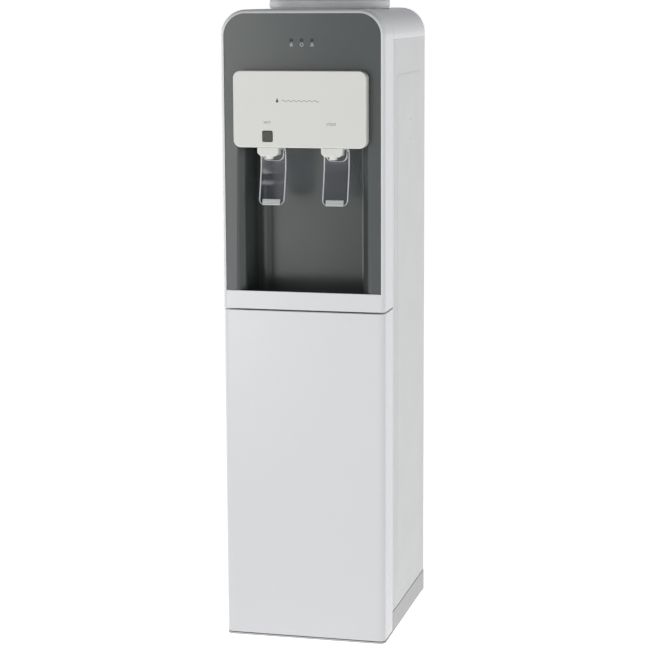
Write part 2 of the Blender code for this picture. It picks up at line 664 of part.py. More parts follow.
def build_lever(name, x):
    """A clear blade with raised rims, which straddles the tap and turns on its pin."""
    half = LEVER_WIDTH / 2 + LEVER_FLARE
    at = (x, 0, 0)
    axle = pivot("lever_axis_" + name, (x, PIVOT_Y, PIVOT_Z))
    thick = LEVER_THICKNESS / 2
    inner = TAP_WIDTH / 2 + TAP_CLEARANCE
    lever = prism("lever_" + name, lever_profile(thick, thick), "x", -half, half, at)
    window = arc((0, TAP_LINE - 0.008), 0.0135, 180, 360, 8)
    window += [(0.0135, PIVOT_Z + STEM_RISE - 0.003), (-0.0135, PIVOT_Z + STEM_RISE - 0.003)]
    cut(lever, prism("lever_window_" + name, window, "y", FRONT, FRONT + 0.04, at))
    for side in (-1, 1):
        reach = sorted((side * (inner + 0.0002), side * half))
        rim = prism("lever_rim_%s_%d" % (name, side), lever_profile(thick + LEVER_RIM, thick), "x", *reach, at)
        ear = arc((PIVOT_Y, PIVOT_Z), 0.0052, 90, 270, 6)
        ear += [(FRONT + 0.0185, PIVOT_Z - 0.014), (FRONT + 0.0185, PIVOT_Z + 0.009)]
        join(lever, rim, prism("lever_ear_%s_%d" % (name, side), ear, "x", *reach, at))
    narrow = LEVER_WIDTH / 2
    bottom = PIVOT_Z - LEVER_LENGTH
    shape = [(narrow, PIVOT_Z + 0.020), (-narrow, PIVOT_Z + 0.020)]
    shape += arc((0.010 - half, bottom + 0.010), 0.010, 180, 270, 5)
    shape += arc((half - 0.010, bottom + 0.010), 0.010, 270, 360, 5)
    sheath = prism("lever_sheath_" + name, shape, "y", FRONT - 0.01, FRONT + 0.05, at)
    combine(lever, "INTERSECT", [sheath])
    hole = rod("lever_pin_hole_" + name, PIN_RADIUS + GAP, -half - WALL, half + WALL, (x, PIVOT_Y, PIVOT_Z), "x", 12)
    cut(lever, hole)
    finish(lever, (0.80, 0.82, 0.84), 0.08, alpha=0.35)
    lever.parent = axle
    lever.matrix_parent_inverse = Matrix.Translation(axle.location).inverted()
    hang(finish(build_pad(name, x, bottom), (0.52, 0.53, 0.51), 0.6), axle)


def build_pad(name, x, bottom):
    """A ribbed pad on the lower front of the blade, lying along its slope."""
    profile = lever_profile(LEVER_THICKNESS / 2, 0)
    low, high = profile[12], profile[10]
    slope = math.atan2(low[0] - high[0], high[1] - low[1])
    outline = [(0, 0), (0, PAD_HEIGHT)]
    ribs = 4
    for rib in range(ribs):
        top = PAD_HEIGHT * (1 - rib / ribs)
        low_edge = PAD_HEIGHT * (1 - (rib + 1) / ribs)
        outline += [(-0.0022, top), (-0.0030, top - 0.0006), (-0.0030, low_edge + 0.0008), (-0.0022, low_edge + 0.0002)]
    outline.append((-0.0022, 0))
    middle = bottom + 0.0090
    share = (middle - low[1]) / (high[1] - low[1])
    y = low[0] + (high[0] - low[0]) * share - GAP - 0.0002
    pad = prism("push_pad_" + name, outline, "x", -PAD_WIDTH / 2, PAD_WIDTH / 2, (0, 0, 0))
    turn = Matrix.Rotation(slope, 4, "X")
    centre = Vector((x, y, middle))
    offset = turn @ Vector((0, 0, -PAD_HEIGHT / 2))
    pad.data.transform(Matrix.Translation(centre + offset) @ turn)
    return pad


def build_valve(name, x):
    """The stem that the lever's bridge pushes forward, and the spring that sends it back."""
    level = PIVOT_Z + STEM_RISE
    slide = pivot("valve_axis_" + name, (x, FRONT + 0.0125, level))
    tip = FRONT + 0.0183 - LEVER_THICKNESS / 2 - 0.0006
    head = CHAMBER_RADIUS - 2 * GAP
    profile = [(0, FRONT - 0.0005), (head, FRONT - 0.0005), (head, FRONT + 0.0018), (STEM_RADIUS, FRONT + 0.0018)]
    profile += [(STEM_RADIUS, tip), (0, tip)]
    stem = turned("valve_stem_" + name, profile, (x, 0, level), "y", 12)
    hang(finish(stem, (0.75, 0.74, 0.70), 0.4), slide)
    wire = 0.0004
    route = helix((x, 0, level), head - 2 * wire, FRONT - 0.0005 - wire - GAP, FRONT - 0.0065 + wire + GAP, 4, 8, "y")
    finish(tube("valve_spring_" + name, route, wire), STEEL, 0.3, 1.0)


def build_tray():
    lift = pivot("tray_axis", (0, ALCOVE_BACK - ALCOVE_DEPTH / 2, WELL_BOTTOM))
    half = ALCOVE_HALF - 2 * TRAY_CLEARANCE
    front = FRONT + TRAY_FRONT
    back = ALCOVE_BACK - 0.0005 - TRAY_CLEARANCE
    corner = TRAY_CORNER
    low = WELL_BOTTOM + 0.0015 + GAP
    rim = GRILLE_TOP - GRILLE_THICKNESS - GAP
    tray = prism("drip_tray", recess(half, front, back, corner), "z", low, rim)
    inside = recess(half - TRAY_WALL, front + TRAY_WALL, back - TRAY_WALL, corner - TRAY_WALL)
    cut(tray, prism("tray_hollow", inside, "z", low + TRAY_WALL, rim + WALL))
    hang(finish(tray, DARK_GREY, 0.45), lift)
    raise_grille = pivot("grille_axis", (0, ALCOVE_BACK - ALCOVE_DEPTH / 2, rim))
    plate = rounded((-half, half), (front, back), corner, 5)
    grille = prism("drip_grille", plate, "z", rim + GAP, GRILLE_TOP)
    count = int((2 * half - 0.030) / SLOT_PITCH)
    for slot in range(count):
        x = (slot - (count - 1) / 2) * SLOT_PITCH
        outline = rounded((x - SLOT_WIDTH / 2, x + SLOT_WIDTH / 2), (front + 0.010, back - 0.012), SLOT_WIDTH / 2 - GAP, 2)
        cut(grille, prism("grille_slot_%d" % slot, outline, "z", rim - WALL, GRILLE_TOP + WALL))
    hang(finish(grille, DARK_GREY, 0.4), raise_grille)


def build_door():
    hinge = pivot("door_axis", (HINGE_X, HINGE_Y, DOOR_BOTTOM))
    panel = box("door_panel", (-SIDE, SIDE), (FRONT, FRONT + DOOR_DEPTH), (DOOR_BOTTOM, DOOR_TOP))
    round_edges(panel, DOOR_EDGE_RADIUS, 5,
                lambda a, b: a.y < FRONT + GAP and b.y < FRONT + GAP and abs(a.x - b.x) < GAP)
    inner = SIDE - WALL
    pocket = box("door_pocket", (-inner, inner), (FRONT + WALL, FRONT + DOOR_DEPTH + WALL),
                 (DOOR_BOTTOM + WALL, DOOR_TOP - WALL))
    level = FRONT + WALL + GAP
    round_edges(pocket, DOOR_EDGE_RADIUS - WALL, 5, lambda a, b: a.y < level and b.y < level and abs(a.x - b.x) < GAP)
    hole = rod("door_hinge_hole", PIN_RADIUS + 2 * GAP, DOOR_BOTTOM - WALL, DOOR_TOP + WALL, (HINGE_X, HINGE_Y, 0), steps=12)
    cut(panel, pocket, hole)
    hang(finish(panel, WHITE, 0.28), hinge)
    back = FRONT + DOOR_DEPTH - 0.004
    liner = box("door_liner", (HINGE_X + 0.007, inner - 0.0007), (back - WALL, back),
                (DOOR_BOTTOM + WALL + 2 * GAP, DOOR_TOP - WALL - 2 * GAP))
    hang(finish(liner, WHITE, 0.4), hinge)
    middle = (DOOR_BOTTOM + DOOR_TOP) / 2
    right = inner - 0.010
    strike = box("strike_plate", (right - 0.024, right), (back + GAP, back + GAP + SHEET), (middle - 0.011, middle + 0.011))
    hang(finish(strike, STEEL, 0.35, 1.0), hinge)
    magnet = box("catch_magnet", (right - 0.023, right - 0.001), (back + 2 * GAP + SHEET, SKIN_FRONT + SHEET - GAP),
                 (middle - 0.010, middle + 0.010))
    finish(magnet, BLACK, 0.5)
    at = (HINGE_X, HINGE_Y, 0)
    shoulder = BAND_BOTTOM + WALL + GAP
    profile = [(0, shoulder + 0.0015), (0.0025, shoulder + 0.0015), (0.0025, shoulder), (PIN_RADIUS, shoulder)]
    profile += [(PIN_RADIUS, DOOR_TOP - WALL - 0.004), (0, DOOR_TOP - WALL - 0.004)]
    finish(turned("hinge_pin_upper", profile, at, steps=12), STEEL, 0.3, 1.0)
    profile = [(0, DOOR_BOTTOM + WALL + 0.004), (PIN_RADIUS, DOOR_BOTTOM + WALL + 0.004)]
    profile += [(PIN_RADIUS, FOOT_HEIGHT - GAP), (0.0025, FOOT_HEIGHT - GAP), (0.0025, FOOT_HEIGHT - 0.0015)]
    profile += [(0, FOOT_HEIGHT - 0.0015)]
    finish(turned("hinge_pin_lower", profile, at, steps=12), STEEL, 0.3, 1.0)


def build_cabinet():
    front = SKIN_FRONT + SHEET
    half = SIDE - FIELD_RAISE - SHEET - 0.0005
    top = DOOR_TOP - 0.004
    liner = box("cabinet_liner", (-half, half), (front, front + 0.002), (CABINET_FLOOR - 0.0025, top))
    wall = SIDE - CABINET_SIDE
    room = box("cabinet_box", (-wall, wall), (front, FRONT + FRAME_DEPTH + CABINET_DEPTH), (CABINET_FLOOR, top - 0.006))
    join(liner, room)
    hollow = box("cabinet_hollow", (0.002 - wall, wall - 0.002), (front - WALL, FRONT + FRAME_DEPTH + CABINET_DEPTH - 0.002),
                 (CABINET_FLOOR + 0.002, top - 0.008))
    cut(liner, hollow)
    finish(liner, WHITE, 0.45)


def build_cold_side():
    at = (0, COLLAR_Y, 0)
    wall = 0.0015
    rim = NECK_RADIUS + 0.0045
    profile = [(TANK_RADIUS, TANK_TOP - 0.004), (TANK_RADIUS - 0.004, TANK_TOP), (rim, TANK_TOP)]
    profile += [(rim, TANK_TOP - wall), (TANK_RADIUS - 0.004 - wall / 2, TANK_TOP - wall)]
    profile += [(TANK_RADIUS - wall, TANK_TOP - 0.005), (TANK_RADIUS - wall, TANK_BOTTOM + 0.005)]
    profile += [(TANK_RADIUS - 0.006, TANK_BOTTOM + wall), (0, TANK_BOTTOM + wall)]
    outer = [(TANK_RADIUS, TANK_BOTTOM + 0.004), (TANK_RADIUS - 0.004, TANK_BOTTOM), (0, TANK_BOTTOM)]
    tank = turned("cold_tank", profile[::-1] + outer, at, steps=24)
    finish(tank, STEEL, 0.3, 1.0)
    for name, x, y in OUTLETS:
        cut(tank, rod("tank_outlet_" + name, 0.0035, TANK_BOTTOM - WALL, TANK_BOTTOM + WALL + wall, (x, y, 0), steps=10))
    outside = FOAM_INNER + FOAM_THICKNESS
    floor = FOAM_BOTTOM + 0.012
    profile = [(outside, TANK_TOP + 0.002), (FOAM_INNER, TANK_TOP + 0.002), (FOAM_INNER, floor), (0, floor)]
    foam = turned("cold_tank_foam", profile[::-1] + [(outside, FOAM_BOTTOM), (0, FOAM_BOTTOM)], at, steps=24)
    for name, x, y in OUTLETS:
        cut(foam, rod("foam_hole_" + name, HOSE_RADIUS + GAP, FOAM_BOTTOM - WALL, floor + WALL, (x, y, 0), steps=10))
    for side in (-1, 1):
        place = (side * COIL_SPREAD, COLLAR_Y + coil_back(), 0)
        cut(foam, rod("foam_pipe_hole_%d" % side, COIL_RADIUS + 0.001, FOAM_BOTTOM - WALL, floor + WALL, place, steps=8))
    finish(foam, (0.75, 0.72, 0.62), 0.9)


def coil_centre():
    return TANK_RADIUS + COIL_RADIUS + 0.0015


def coil_back():
    return math.sqrt(coil_centre() ** 2 - COIL_SPREAD ** 2)


def build_cooling():
    """The evaporator on the cold tank, the compressor, and the pipes and grid between them."""
    radius = coil_centre()
    start = math.atan2(coil_back(), COIL_SPREAD)
    low = TANK_BOTTOM + 0.010
    high = TANK_TOP - 0.020
    turns = 4
    per_turn = 16
    sweep = 2 * math.pi * turns + (math.pi - 2 * start)
    exit_level = FOAM_BOTTOM - 0.004
    steps = turns * per_turn
    route = [Vector((COIL_SPREAD, COLLAR_Y + coil_back(), exit_level))]
    for step in range(steps + 1):
        angle = start - sweep * step / steps
        height = low + (high - low) * step / steps
        route.append(Vector((radius * math.cos(angle), COLLAR_Y + radius * math.sin(angle), height)))
    coil = tube("evaporator_coil", route, COIL_RADIUS)
    finish(coil, COPPER, 0.35, 1.0)
    build_compressor()
    build_condenser()
    inlet = Vector((COIL_SPREAD, COLLAR_Y + coil_back(), exit_level - GAP))
    drop = REAR - 0.012
    top = FLOOR_TOP + 0.010 + COMPRESSOR_HEIGHT
    compressor_y = REAR - COMPRESSOR_SETBACK
    port = Vector((0.030, compressor_y, top - 0.018))
    corners = [inlet, (inlet.x, inlet.y, inlet.z - 0.020), (0.095, drop - 0.006, inlet.z - 0.050)]
    corners += [(0.095, drop - 0.006, port.z + 0.060), (port.x, port.y, port.z + 0.045), port]
    finish(tube("suction_pipe", bent(corners, 0.014), COIL_RADIUS), COPPER, 0.35, 1.0)
    port = Vector((-0.030, compressor_y, top - 0.018))
    lead = condenser_start()
    corners = [port, (port.x, port.y, port.z + 0.040), (lead.x, REAR - 0.020, port.z + 0.050)]
    corners += [(lead.x, REAR - 0.020, SWITCH_LINE - 0.065), (lead.x, lead.y, SWITCH_LINE - 0.065)]
    corners += [(lead.x, lead.y, lead.z - GAP)]
    finish(tube("discharge_pipe", bent(corners, 0.008), COIL_RADIUS), COPPER, 0.35, 1.0)


def build_compressor():
    base = FLOOR_TOP + 0.010
    top = base + COMPRESSOR_HEIGHT
    radius = COMPRESSOR_RADIUS
    at = (0, REAR - COMPRESSOR_SETBACK, 0)
    profile = [(0, top), (radius * 0.45, top - 0.003), (radius * 0.80, top - 0.014), (radius * 0.97, top - 0.034)]
    profile += [(radius, top - 0.060), (radius, base + 0.040), (radius * 0.94, base + 0.015), (radius * 0.7, base)]
    profile += [(0, base)]
    shell = turned("compressor", profile, at, steps=24)
    plate = box("compressor_plate", (-0.088, 0.088), (at[1] - 0.045, at[1] + 0.045), (base - 0.001, base + 0.003))
    seam = rod("compressor_seam", radius + 0.003, base + 0.088, base + 0.092, at, steps=24)
    join(shell, plate, seam)
    for side in (-1, 1):
        for end in (-1, 1):
            x = side * 0.078
            y = at[1] + end * 0.036
            foot = rod("compressor_foot_%d_%d" % (side, end), 0.008, FLOOR_TOP + GAP, base, (x, y, 0), steps=10)
            join(shell, foot)
    finish(shell, BLACK, 0.45)
    for side in (-1, 1):
        hole = rod("compressor_port_%d" % side, COIL_RADIUS + GAP, top - 0.0185, top + 0.02, (side * 0.030, at[1], 0), steps=10)
        cut(shell, hole)


def condenser_start():
    return Vector((-CONDENSER_WIDTH / 2, REAR + CONDENSER_PROUD - 0.006, CONDENSER_BOTTOM))


def condenser_passes():
    return int((COVER_EDGE - 0.040 - CONDENSER_BOTTOM) / CONDENSER_PITCH)


def build_condenser():
    first = condenser_start()
    half = CONDENSER_WIDTH / 2
    corners = [first]
    passes = condenser_passes()
    for row in range(passes):
        level = CONDENSER_BOTTOM + 0.012 + row * CONDENSER_PITCH
        sides = (-half, half) if row % 2 == 0 else (half, -half)
        corners += [(sides[0], first.y, level), (sides[1], first.y, level)]
    finish_y = first.y
    last = corners[-1]
    corners.append((last[0], finish_y, last[2] + 0.014))
    finish(tube("condenser_tube", bent(corners, 0.009, 2), COIL_RADIUS), BLACK, 0.5, 0.4)
    inner = REAR + CONDENSER_PROUD - 0.006 + COIL_RADIUS + GAP
    outer = REAR + CONDENSER_PROUD
    low = CONDENSER_BOTTOM - 0.006
    high = last[2] + 0.020
    mat = box("condenser_grid", (0.006 - half, half - 0.006), (inner, outer), (low, high))
    bars = 10
    pitch = (2 * half - 0.012 - 0.003) / bars
    for bar in range(bars):
        x = 0.006 - half + 0.003 + bar * pitch
        slot = box("grid_slot_%d" % bar, (x, x + pitch - 0.003), (inner - WALL, outer + WALL), (low + 0.003, high - 0.003))
        cut(mat, slot)
    finish(mat, BLACK, 0.5, 0.4)
    skin = REAR - SHEET
    for name, level in (("lower", CONDENSER_BOTTOM + 0.034), ("upper", last[2] - 0.030)):
        wide = half - 0.010
        bracket = box("condenser_bracket_" + name, (-wide, wide), (skin, first.y - COIL_RADIUS - GAP),
                      (level - 0.006, level + 0.006))
        trough = box("bracket_trough_" + name, (0.012 - wide, wide - 0.012), (skin - WALL, first.y - COIL_RADIUS - GAP - SHEET),
                     (level - 0.0045, level + 0.0045))
        cut(bracket, trough)
        finish(bracket, BLACK, 0.5)


def build_hot_side():
    at = (0, HOT_TANK_Y, 0)
    top = HOT_TANK_TOP
    bottom = top - HOT_TANK_HEIGHT
    wall = 0.0015
    outlet = 0.0035
    profile = [(outlet, top + 0.010), (outlet + wall, top + 0.010), (outlet + wall, top)]
    profile += [(HOT_TANK_RADIUS - 0.012, top - 0.002), (HOT_TANK_RADIUS, top - 0.012)]
    profile += [(HOT_TANK_RADIUS, bottom + 0.012), (HOT_TANK_RADIUS - 0.012, bottom + 0.002)]
    profile += [(outlet + wall, bottom), (outlet + wall, bottom - 0.010), (outlet, bottom - 0.010)]
    profile += [(outlet, bottom + wall), (HOT_TANK_RADIUS - 0.013, bottom + 0.002 + wall)]
    profile += [(HOT_TANK_RADIUS - wall, bottom + 0.013), (HOT_TANK_RADIUS - wall, top - 0.013)]
    profile += [(HOT_TANK_RADIUS - 0.013, top - 0.002 - wall), (outlet, top - wall)]
    tank = turned("hot_tank", profile, at, steps=20)
    inlet = (-HOT_TANK_RADIUS - 0.008, HOT_TANK_Y, bottom + 0.040)
    cut(tank, rod("hot_inlet", 0.0035, -HOT_TANK_RADIUS - 0.01, -HOT_TANK_RADIUS + 0.01, (0, HOT_TANK_Y, inlet[2]), "x", 10))
    finish(tank, STEEL, 0.3, 1.0)
    back = HOT_TANK_Y + HOT_TANK_RADIUS + GAP
    level = (top + bottom) / 2
    disc = rod("thermostat", 0.010, back, back + 0.007, (0, 0, level), "y", 16)
    finish(disc, BLACK, 0.4)
    tap_x = TAP_SPACING / 2
    start = (-tap_x, FRONT + 0.022 + GAP, TAIL_Z)
    mouth = top + 0.010 + GAP
    corners = [start, (-tap_x, ALCOVE_BACK + 0.030, TAIL_Z), (-tap_x + 0.020, ALCOVE_BACK + 0.045, mouth + 0.030)]
    corners += [(0, HOT_TANK_Y, mouth + 0.030), (0, HOT_TANK_Y, mouth)]
    finish(tube("hose_hot", bent(corners, 0.012), HOSE_RADIUS, 2), SILICONE, 0.5)
    name, x, y = OUTLETS[0]
    under = TANK_BOTTOM - GAP
    corners = [(tap_x, FRONT + 0.022 + GAP, TAIL_Z), (tap_x, ALCOVE_BACK - 0.020, TAIL_Z)]
    corners += [(x, y, TAIL_Z), (x, y, under)]
    finish(tube("hose_cold", bent(corners, 0.009), HOSE_RADIUS, 2), SILICONE, 0.5)
    name, x, y = OUTLETS[1]
    side_x = -HOT_TANK_RADIUS - 0.022
    corners = [(x, y, under), (x, y, TAIL_Z - 0.004), (side_x, HOT_TANK_Y, TAIL_Z - 0.012)]
    corners += [(side_x, HOT_TANK_Y, inlet[2]), (-HOT_TANK_RADIUS - GAP, HOT_TANK_Y, inlet[2])]
    finish(tube("feed_hose", bent(corners, 0.010), HOSE_RADIUS, 2), SILICONE, 0.5)
    build_drain(bottom - 0.010 - GAP)


def build_drain(start):
    at = (-0.085, 0, SWITCH_LINE)
    inner = REAR - 0.022
    bore = 0.005
    face = REAR - SHEET
    profile = [(bore, face + 0.016), (0.0075, face + 0.016), (0.0075, face + 0.003), (0.0125, face + 0.003)]
    profile += [(0.0125, face), (0.0088, face), (0.0088, face - 0.006), (0.0065, face - 0.006), (0.0065, inner), (bore, inner)]
    outlet = turned("drain_outlet", profile, at, "y", 16)
    finish(outlet, WHITE, 0.4)
    end = inner - GAP
    corners = [(0, HOT_TANK_Y, start), (0, HOT_TANK_Y, start - 0.030), (-0.085, HOT_TANK_Y + 0.010, start - 0.050)]
    corners += [(-0.085, HOT_TANK_Y + 0.010, SWITCH_LINE + 0.030), (-0.085, HOT_TANK_Y + 0.025, SWITCH_LINE)]
    corners += [(-0.085, end, SWITCH_LINE)]
    finish(tube("drain_hose", bent(corners, 0.012), HOSE_RADIUS, 2), SILICONE, 0.5)
    cap_axis = pivot("drain_cap_axis", (at[0], face + 0.018, at[2]))
    seat = face + 0.003 + GAP
    profile = [(0.0078, seat), (0.0078, face + 0.016 + GAP), (0, face + 0.016 + GAP), (0, face + 0.0185)]
    profile += [(0.0095, face + 0.0185), (0.0105, face + 0.0175), (0.0105, seat)]
    cap = turned("drain_cap", profile[2::-1] + profile[:2:-1], at, "y", 16)
    hang(finish(cap, BLACK, 0.5), cap_axis)


def build_rear_controls():
    """Two rocker switches and the gland of the supply cord."""
    skin = REAR - SHEET
    first, second = SWITCHES[0][1], SWITCHES[1][1]
    plate = box("switch_plate", (first - 0.0095, second + 0.0095), (skin, skin + 0.002),
                (SWITCH_LINE - 0.013, SWITCH_LINE + 0.013))
    for name, x, colour in SWITCHES:
        body = box("switch_body_" + name, (x - 0.0065, x + 0.0065), (skin - 0.014, skin + 0.001),
                   (SWITCH_LINE - 0.010, SWITCH_LINE + 0.010))
        join(plate, body)
    for name, x, colour in SWITCHES:
        room = box("switch_room_" + name, (x - 0.0055, x + 0.0055), (skin - 0.009, skin + 0.006),
                   (SWITCH_LINE - 0.009, SWITCH_LINE + 0.009))
        cut(plate, room)
        axle = (x, skin - 0.001, SWITCH_LINE)
        hinge = pivot("switch_axis_" + name, axle)
        outline = [(-0.0050, -0.006), (0.0012, -0.0082), (0.0030, -0.0082), (0.0016, 0.0)]
        outline += [(0.0030, 0.0082), (0.0012, 0.0082), (-0.0050, 0.006)]
        lean = math.radians(SWITCH_THROW / 2)
        places = []
        for out, up in outline:
            y = (out + 0.0005) * math.cos(lean) + up * math.sin(lean)
            z = up * math.cos(lean) - (out + 0.0005) * math.sin(lean)
            places.append((axle[1] + y, SWITCH_LINE + z))
        rocker = prism(name + "_switch", places, "x", x - 0.0050, x + 0.0050)
        hang(finish(rocker, colour, 0.4), hinge)
    finish(plate, BLACK, 0.5)
    profile = [(0.0035, skin + 0.012), (0.0060, skin + 0.012), (0.0072, skin + 0.003), (0.0112, skin + 0.003)]
    profile += [(0.0112, skin), (0.0079, skin), (0.0079, skin - 0.008), (0.0035, skin - 0.008)]
    gland = turned("cord_gland", profile, (0.100, 0, SWITCH_LINE), "y", 16)
    finish(gland, BLACK, 0.6)


clear_scene()
build_base()
build_side_panel("side_panel_left", -1)
build_side_panel("side_panel_right", 1)
build_rear_panel()
build_top_cover()
build_bottle_seat()
build_frame()
build_fascia()
build_indicators()
build_tap_panel()
for tap_name, tap_x in (("hot", -TAP_SPACING / 2), ("cold", TAP_SPACING / 2)):
    build_tap(tap_name, tap_x)
    build_lever(tap_name, tap_x)
    build_valve(tap_name, tap_x)
build_tray()
build_door()
build_cabinet()
build_cold_side()
build_cooling()
build_hot_side()
build_rear_controls()
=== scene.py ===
import math

import bpy
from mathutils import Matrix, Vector


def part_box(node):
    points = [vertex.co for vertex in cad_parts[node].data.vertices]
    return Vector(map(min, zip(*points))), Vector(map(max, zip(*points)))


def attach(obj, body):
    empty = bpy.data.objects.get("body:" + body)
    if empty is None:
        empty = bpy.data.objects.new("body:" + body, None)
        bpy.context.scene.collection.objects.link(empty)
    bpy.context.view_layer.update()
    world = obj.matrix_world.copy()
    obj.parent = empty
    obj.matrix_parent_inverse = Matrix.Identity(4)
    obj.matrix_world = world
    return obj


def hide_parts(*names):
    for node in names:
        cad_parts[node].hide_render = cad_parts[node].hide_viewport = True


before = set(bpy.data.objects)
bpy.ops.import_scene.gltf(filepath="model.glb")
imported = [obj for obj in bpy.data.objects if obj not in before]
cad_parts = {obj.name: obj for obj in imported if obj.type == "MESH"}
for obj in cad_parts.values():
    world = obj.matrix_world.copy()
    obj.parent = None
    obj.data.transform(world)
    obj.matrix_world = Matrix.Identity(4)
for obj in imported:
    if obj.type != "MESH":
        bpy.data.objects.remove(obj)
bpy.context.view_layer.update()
print("frame loaded with", len(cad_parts), "CAD nodes")


# small tools for modelling by operators

hair = 0.00001  # closer than this counts as the same place


def rest():
    if bpy.context.mode != "OBJECT":
        bpy.ops.object.mode_set(mode="OBJECT")
    bpy.ops.object.select_all(action="DESELECT")


def hold(piece):
    rest()
    piece.hide_set(False)
    piece.select_set(True)
    bpy.context.view_layer.objects.active = piece


def settle(piece):
    hold(piece)
    bpy.ops.object.transform_apply(location=True, rotation=True, scale=True)
    return piece


def openUp(piece):
    # edit mode with all of the piece picked
    hold(piece)
    bpy.ops.object.mode_set(mode="EDIT")
    bpy.ops.mesh.select_all(action="SELECT")


def leave():
    bpy.ops.object.mode_set(mode="OBJECT")


def faceOut():
    bpy.ops.mesh.select_all(action="SELECT")
    bpy.ops.mesh.normals_make_consistent(inside=False)
    leave()


def middleOf(node):
    low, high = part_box(node)
    return (low + high) / 2


def block(name, low, high):
    rest()
    low, high = Vector(low), Vector(high)
    bpy.ops.mesh.primitive_cube_add(size=1, location=(low + high) / 2)
    piece = bpy.context.object
    piece.name = name
    piece.scale = high - low
    return settle(piece)


def choose(piece, kind, test):
    # picks faces by (centre, normal), edges by (middle, direction), points by (place)
    hold(piece)
    bpy.ops.object.mode_set(mode="EDIT")
    bpy.ops.mesh.select_mode(type=kind)
    bpy.ops.mesh.select_all(action="DESELECT")
    leave()
    mesh = piece.data
    if kind == "FACE":
        for face in mesh.polygons:
            face.select = bool(test(face.center, face.normal))
    elif kind == "EDGE":
        for edge in mesh.edges:
            a, b = (mesh.vertices[i].co for i in edge.vertices)
            edge.select = bool(test((a + b) / 2, (b - a).normalized()))
    else:
        for point in mesh.vertices:
            point.select = bool(test(point.co))
    bpy.ops.object.mode_set(mode="EDIT")


def running(axis, also=None):
    # picks the edges along an axis whose middles pass a second test
    number = "xyz".index(axis)
    return lambda middle, way: abs(way[number]) > 0.9 and (not also or also(middle))


def roundOff(piece, width, segments, test):
    choose(piece, "EDGE", test)
    bpy.ops.mesh.bevel(offset=width, segments=segments, profile=0.5, affect="EDGES")
    leave()


def shift(piece, test, move):
    choose(piece, "VERT", test)
    bpy.ops.transform.translate(value=move)
    leave()


def pull(piece, test, move):
    choose(piece, "FACE", test)
    bpy.ops.mesh.extrude_region_move(TRANSFORM_OT_translate={"value": move})
    leave()


def cutAcross(piece, axis, places):
    hold(piece)
    bpy.ops.object.mode_set(mode="EDIT")
    for place in places:
        bpy.ops.mesh.select_all(action="SELECT")
        spot, way = [0, 0, 0], [0, 0, 0]
        spot["xyz".index(axis)] = place
        way["xyz".index(axis)] = 1
        bpy.ops.mesh.bisect(plane_co=spot, plane_no=way)
    leave()


def carve(piece, *tools, how="DIFFERENCE"):
    for tool in tools:
        step = piece.modifiers.new("carve", "BOOLEAN")
        step.operation = how
        step.object = tool
        hold(piece)
        bpy.ops.object.modifier_apply(modifier=step.name)
        bpy.data.objects.remove(tool)
    return piece


def merge(name, *parts):
    # several closed shells kept in one mesh
    rest()
    for part in parts:
        part.select_set(True)
    bpy.context.view_layer.objects.active = parts[0]
    if len(parts) > 1:
        bpy.ops.object.join()
    parts[0].name = name
    return parts[0]


def twin(piece, name, move):
    # a copy with its own mesh, moved and settled
    rest()
    other = piece.copy()
    other.data = piece.data.copy()
    other.name = name
    bpy.context.scene.collection.objects.link(other)
    other.location = Vector(move)
    return settle(other)


def soften(piece, width, segments=2, angle=40):
    step = piece.modifiers.new("edges", "BEVEL")
    step.width = width
    step.segments = segments
    step.limit_method = "ANGLE"
    step.angle_limit = math.radians(angle)
    hold(piece)
    bpy.ops.object.modifier_apply(modifier=step.name)
    return piece


def turn(name, profile, centre=(0, 0, 0), axis="z", sides=64, closed=False):
    # a ring of points pulled and scaled from one (radius, height) pair to the next
    rest()
    first, start = profile[0]
    bpy.ops.mesh.primitive_circle_add(vertices=sides, radius=first, location=(0, 0, start),
                                      fill_type="NOTHING")
    piece = bpy.context.object
    piece.name = name
    settle(piece)
    bpy.ops.object.mode_set(mode="EDIT")
    bpy.ops.mesh.select_mode(type="EDGE")
    bpy.ops.mesh.select_all(action="SELECT")
    for radius, height in profile[1:] + ([profile[0]] if closed else []):
        bpy.ops.mesh.extrude_edges_move(TRANSFORM_OT_translate={"value": (0, 0, height - start)})
        bpy.ops.transform.resize(value=(radius / first, radius / first, 1), center_override=(0, 0, height))
        first, start = radius, height
    bpy.ops.mesh.select_all(action="SELECT")
    bpy.ops.mesh.remove_doubles(threshold=0.000001)
    if not closed:
        bpy.ops.mesh.fill_holes(sides=0)
    faceOut()
    if axis == "y":
        piece.rotation_euler.x = -math.pi / 2
    elif axis == "x":
        piece.rotation_euler.y = math.pi / 2
    piece.location = centre
    return settle(piece)


def rod(name, radius, start, end, centre=(0, 0, 0), axis="z", sides=32):
    return turn(name, [(radius, start), (radius, end)], centre, axis, sides)


def bend(corners, radius, steps):
    # rounds the inner corners of a route
    route = [Vector(corners[0])]
    for before, corner, after in zip(corners, corners[1:], corners[2:]):
        before, corner, after = Vector(before), Vector(corner), Vector(after)
        back, ahead = (before - corner).normalized(), (after - corner).normalized()
        for step in range(steps + 1):
            share = step / steps
            start, end = corner + back * radius * (1 - share), corner + ahead * radius * share
            route.append(start.lerp(end, share))
    return route + [Vector(corners[-1])]


def pipe(name, route, radius, fineness=4, weights=None):
    line = bpy.data.curves.new(name, "CURVE")
    line.dimensions = "3D"
    line.bevel_depth = radius
    line.bevel_resolution = fineness
    line.use_fill_caps = True
    spline = line.splines.new("POLY")
    spline.points.add(len(route) - 1)
    for point, place in zip(spline.points, route):
        point.co = (*place, 1)
    for point, weight in zip(spline.points, weights or []):
        point.radius = weight
    piece = bpy.data.objects.new(name, line)
    bpy.context.scene.collection.objects.link(piece)
    hold(piece)
    bpy.ops.object.convert(target="MESH")
    piece = bpy.context.object
    openUp(piece)
    bpy.ops.mesh.remove_doubles(threshold=hair)
    faceOut()
    return piece


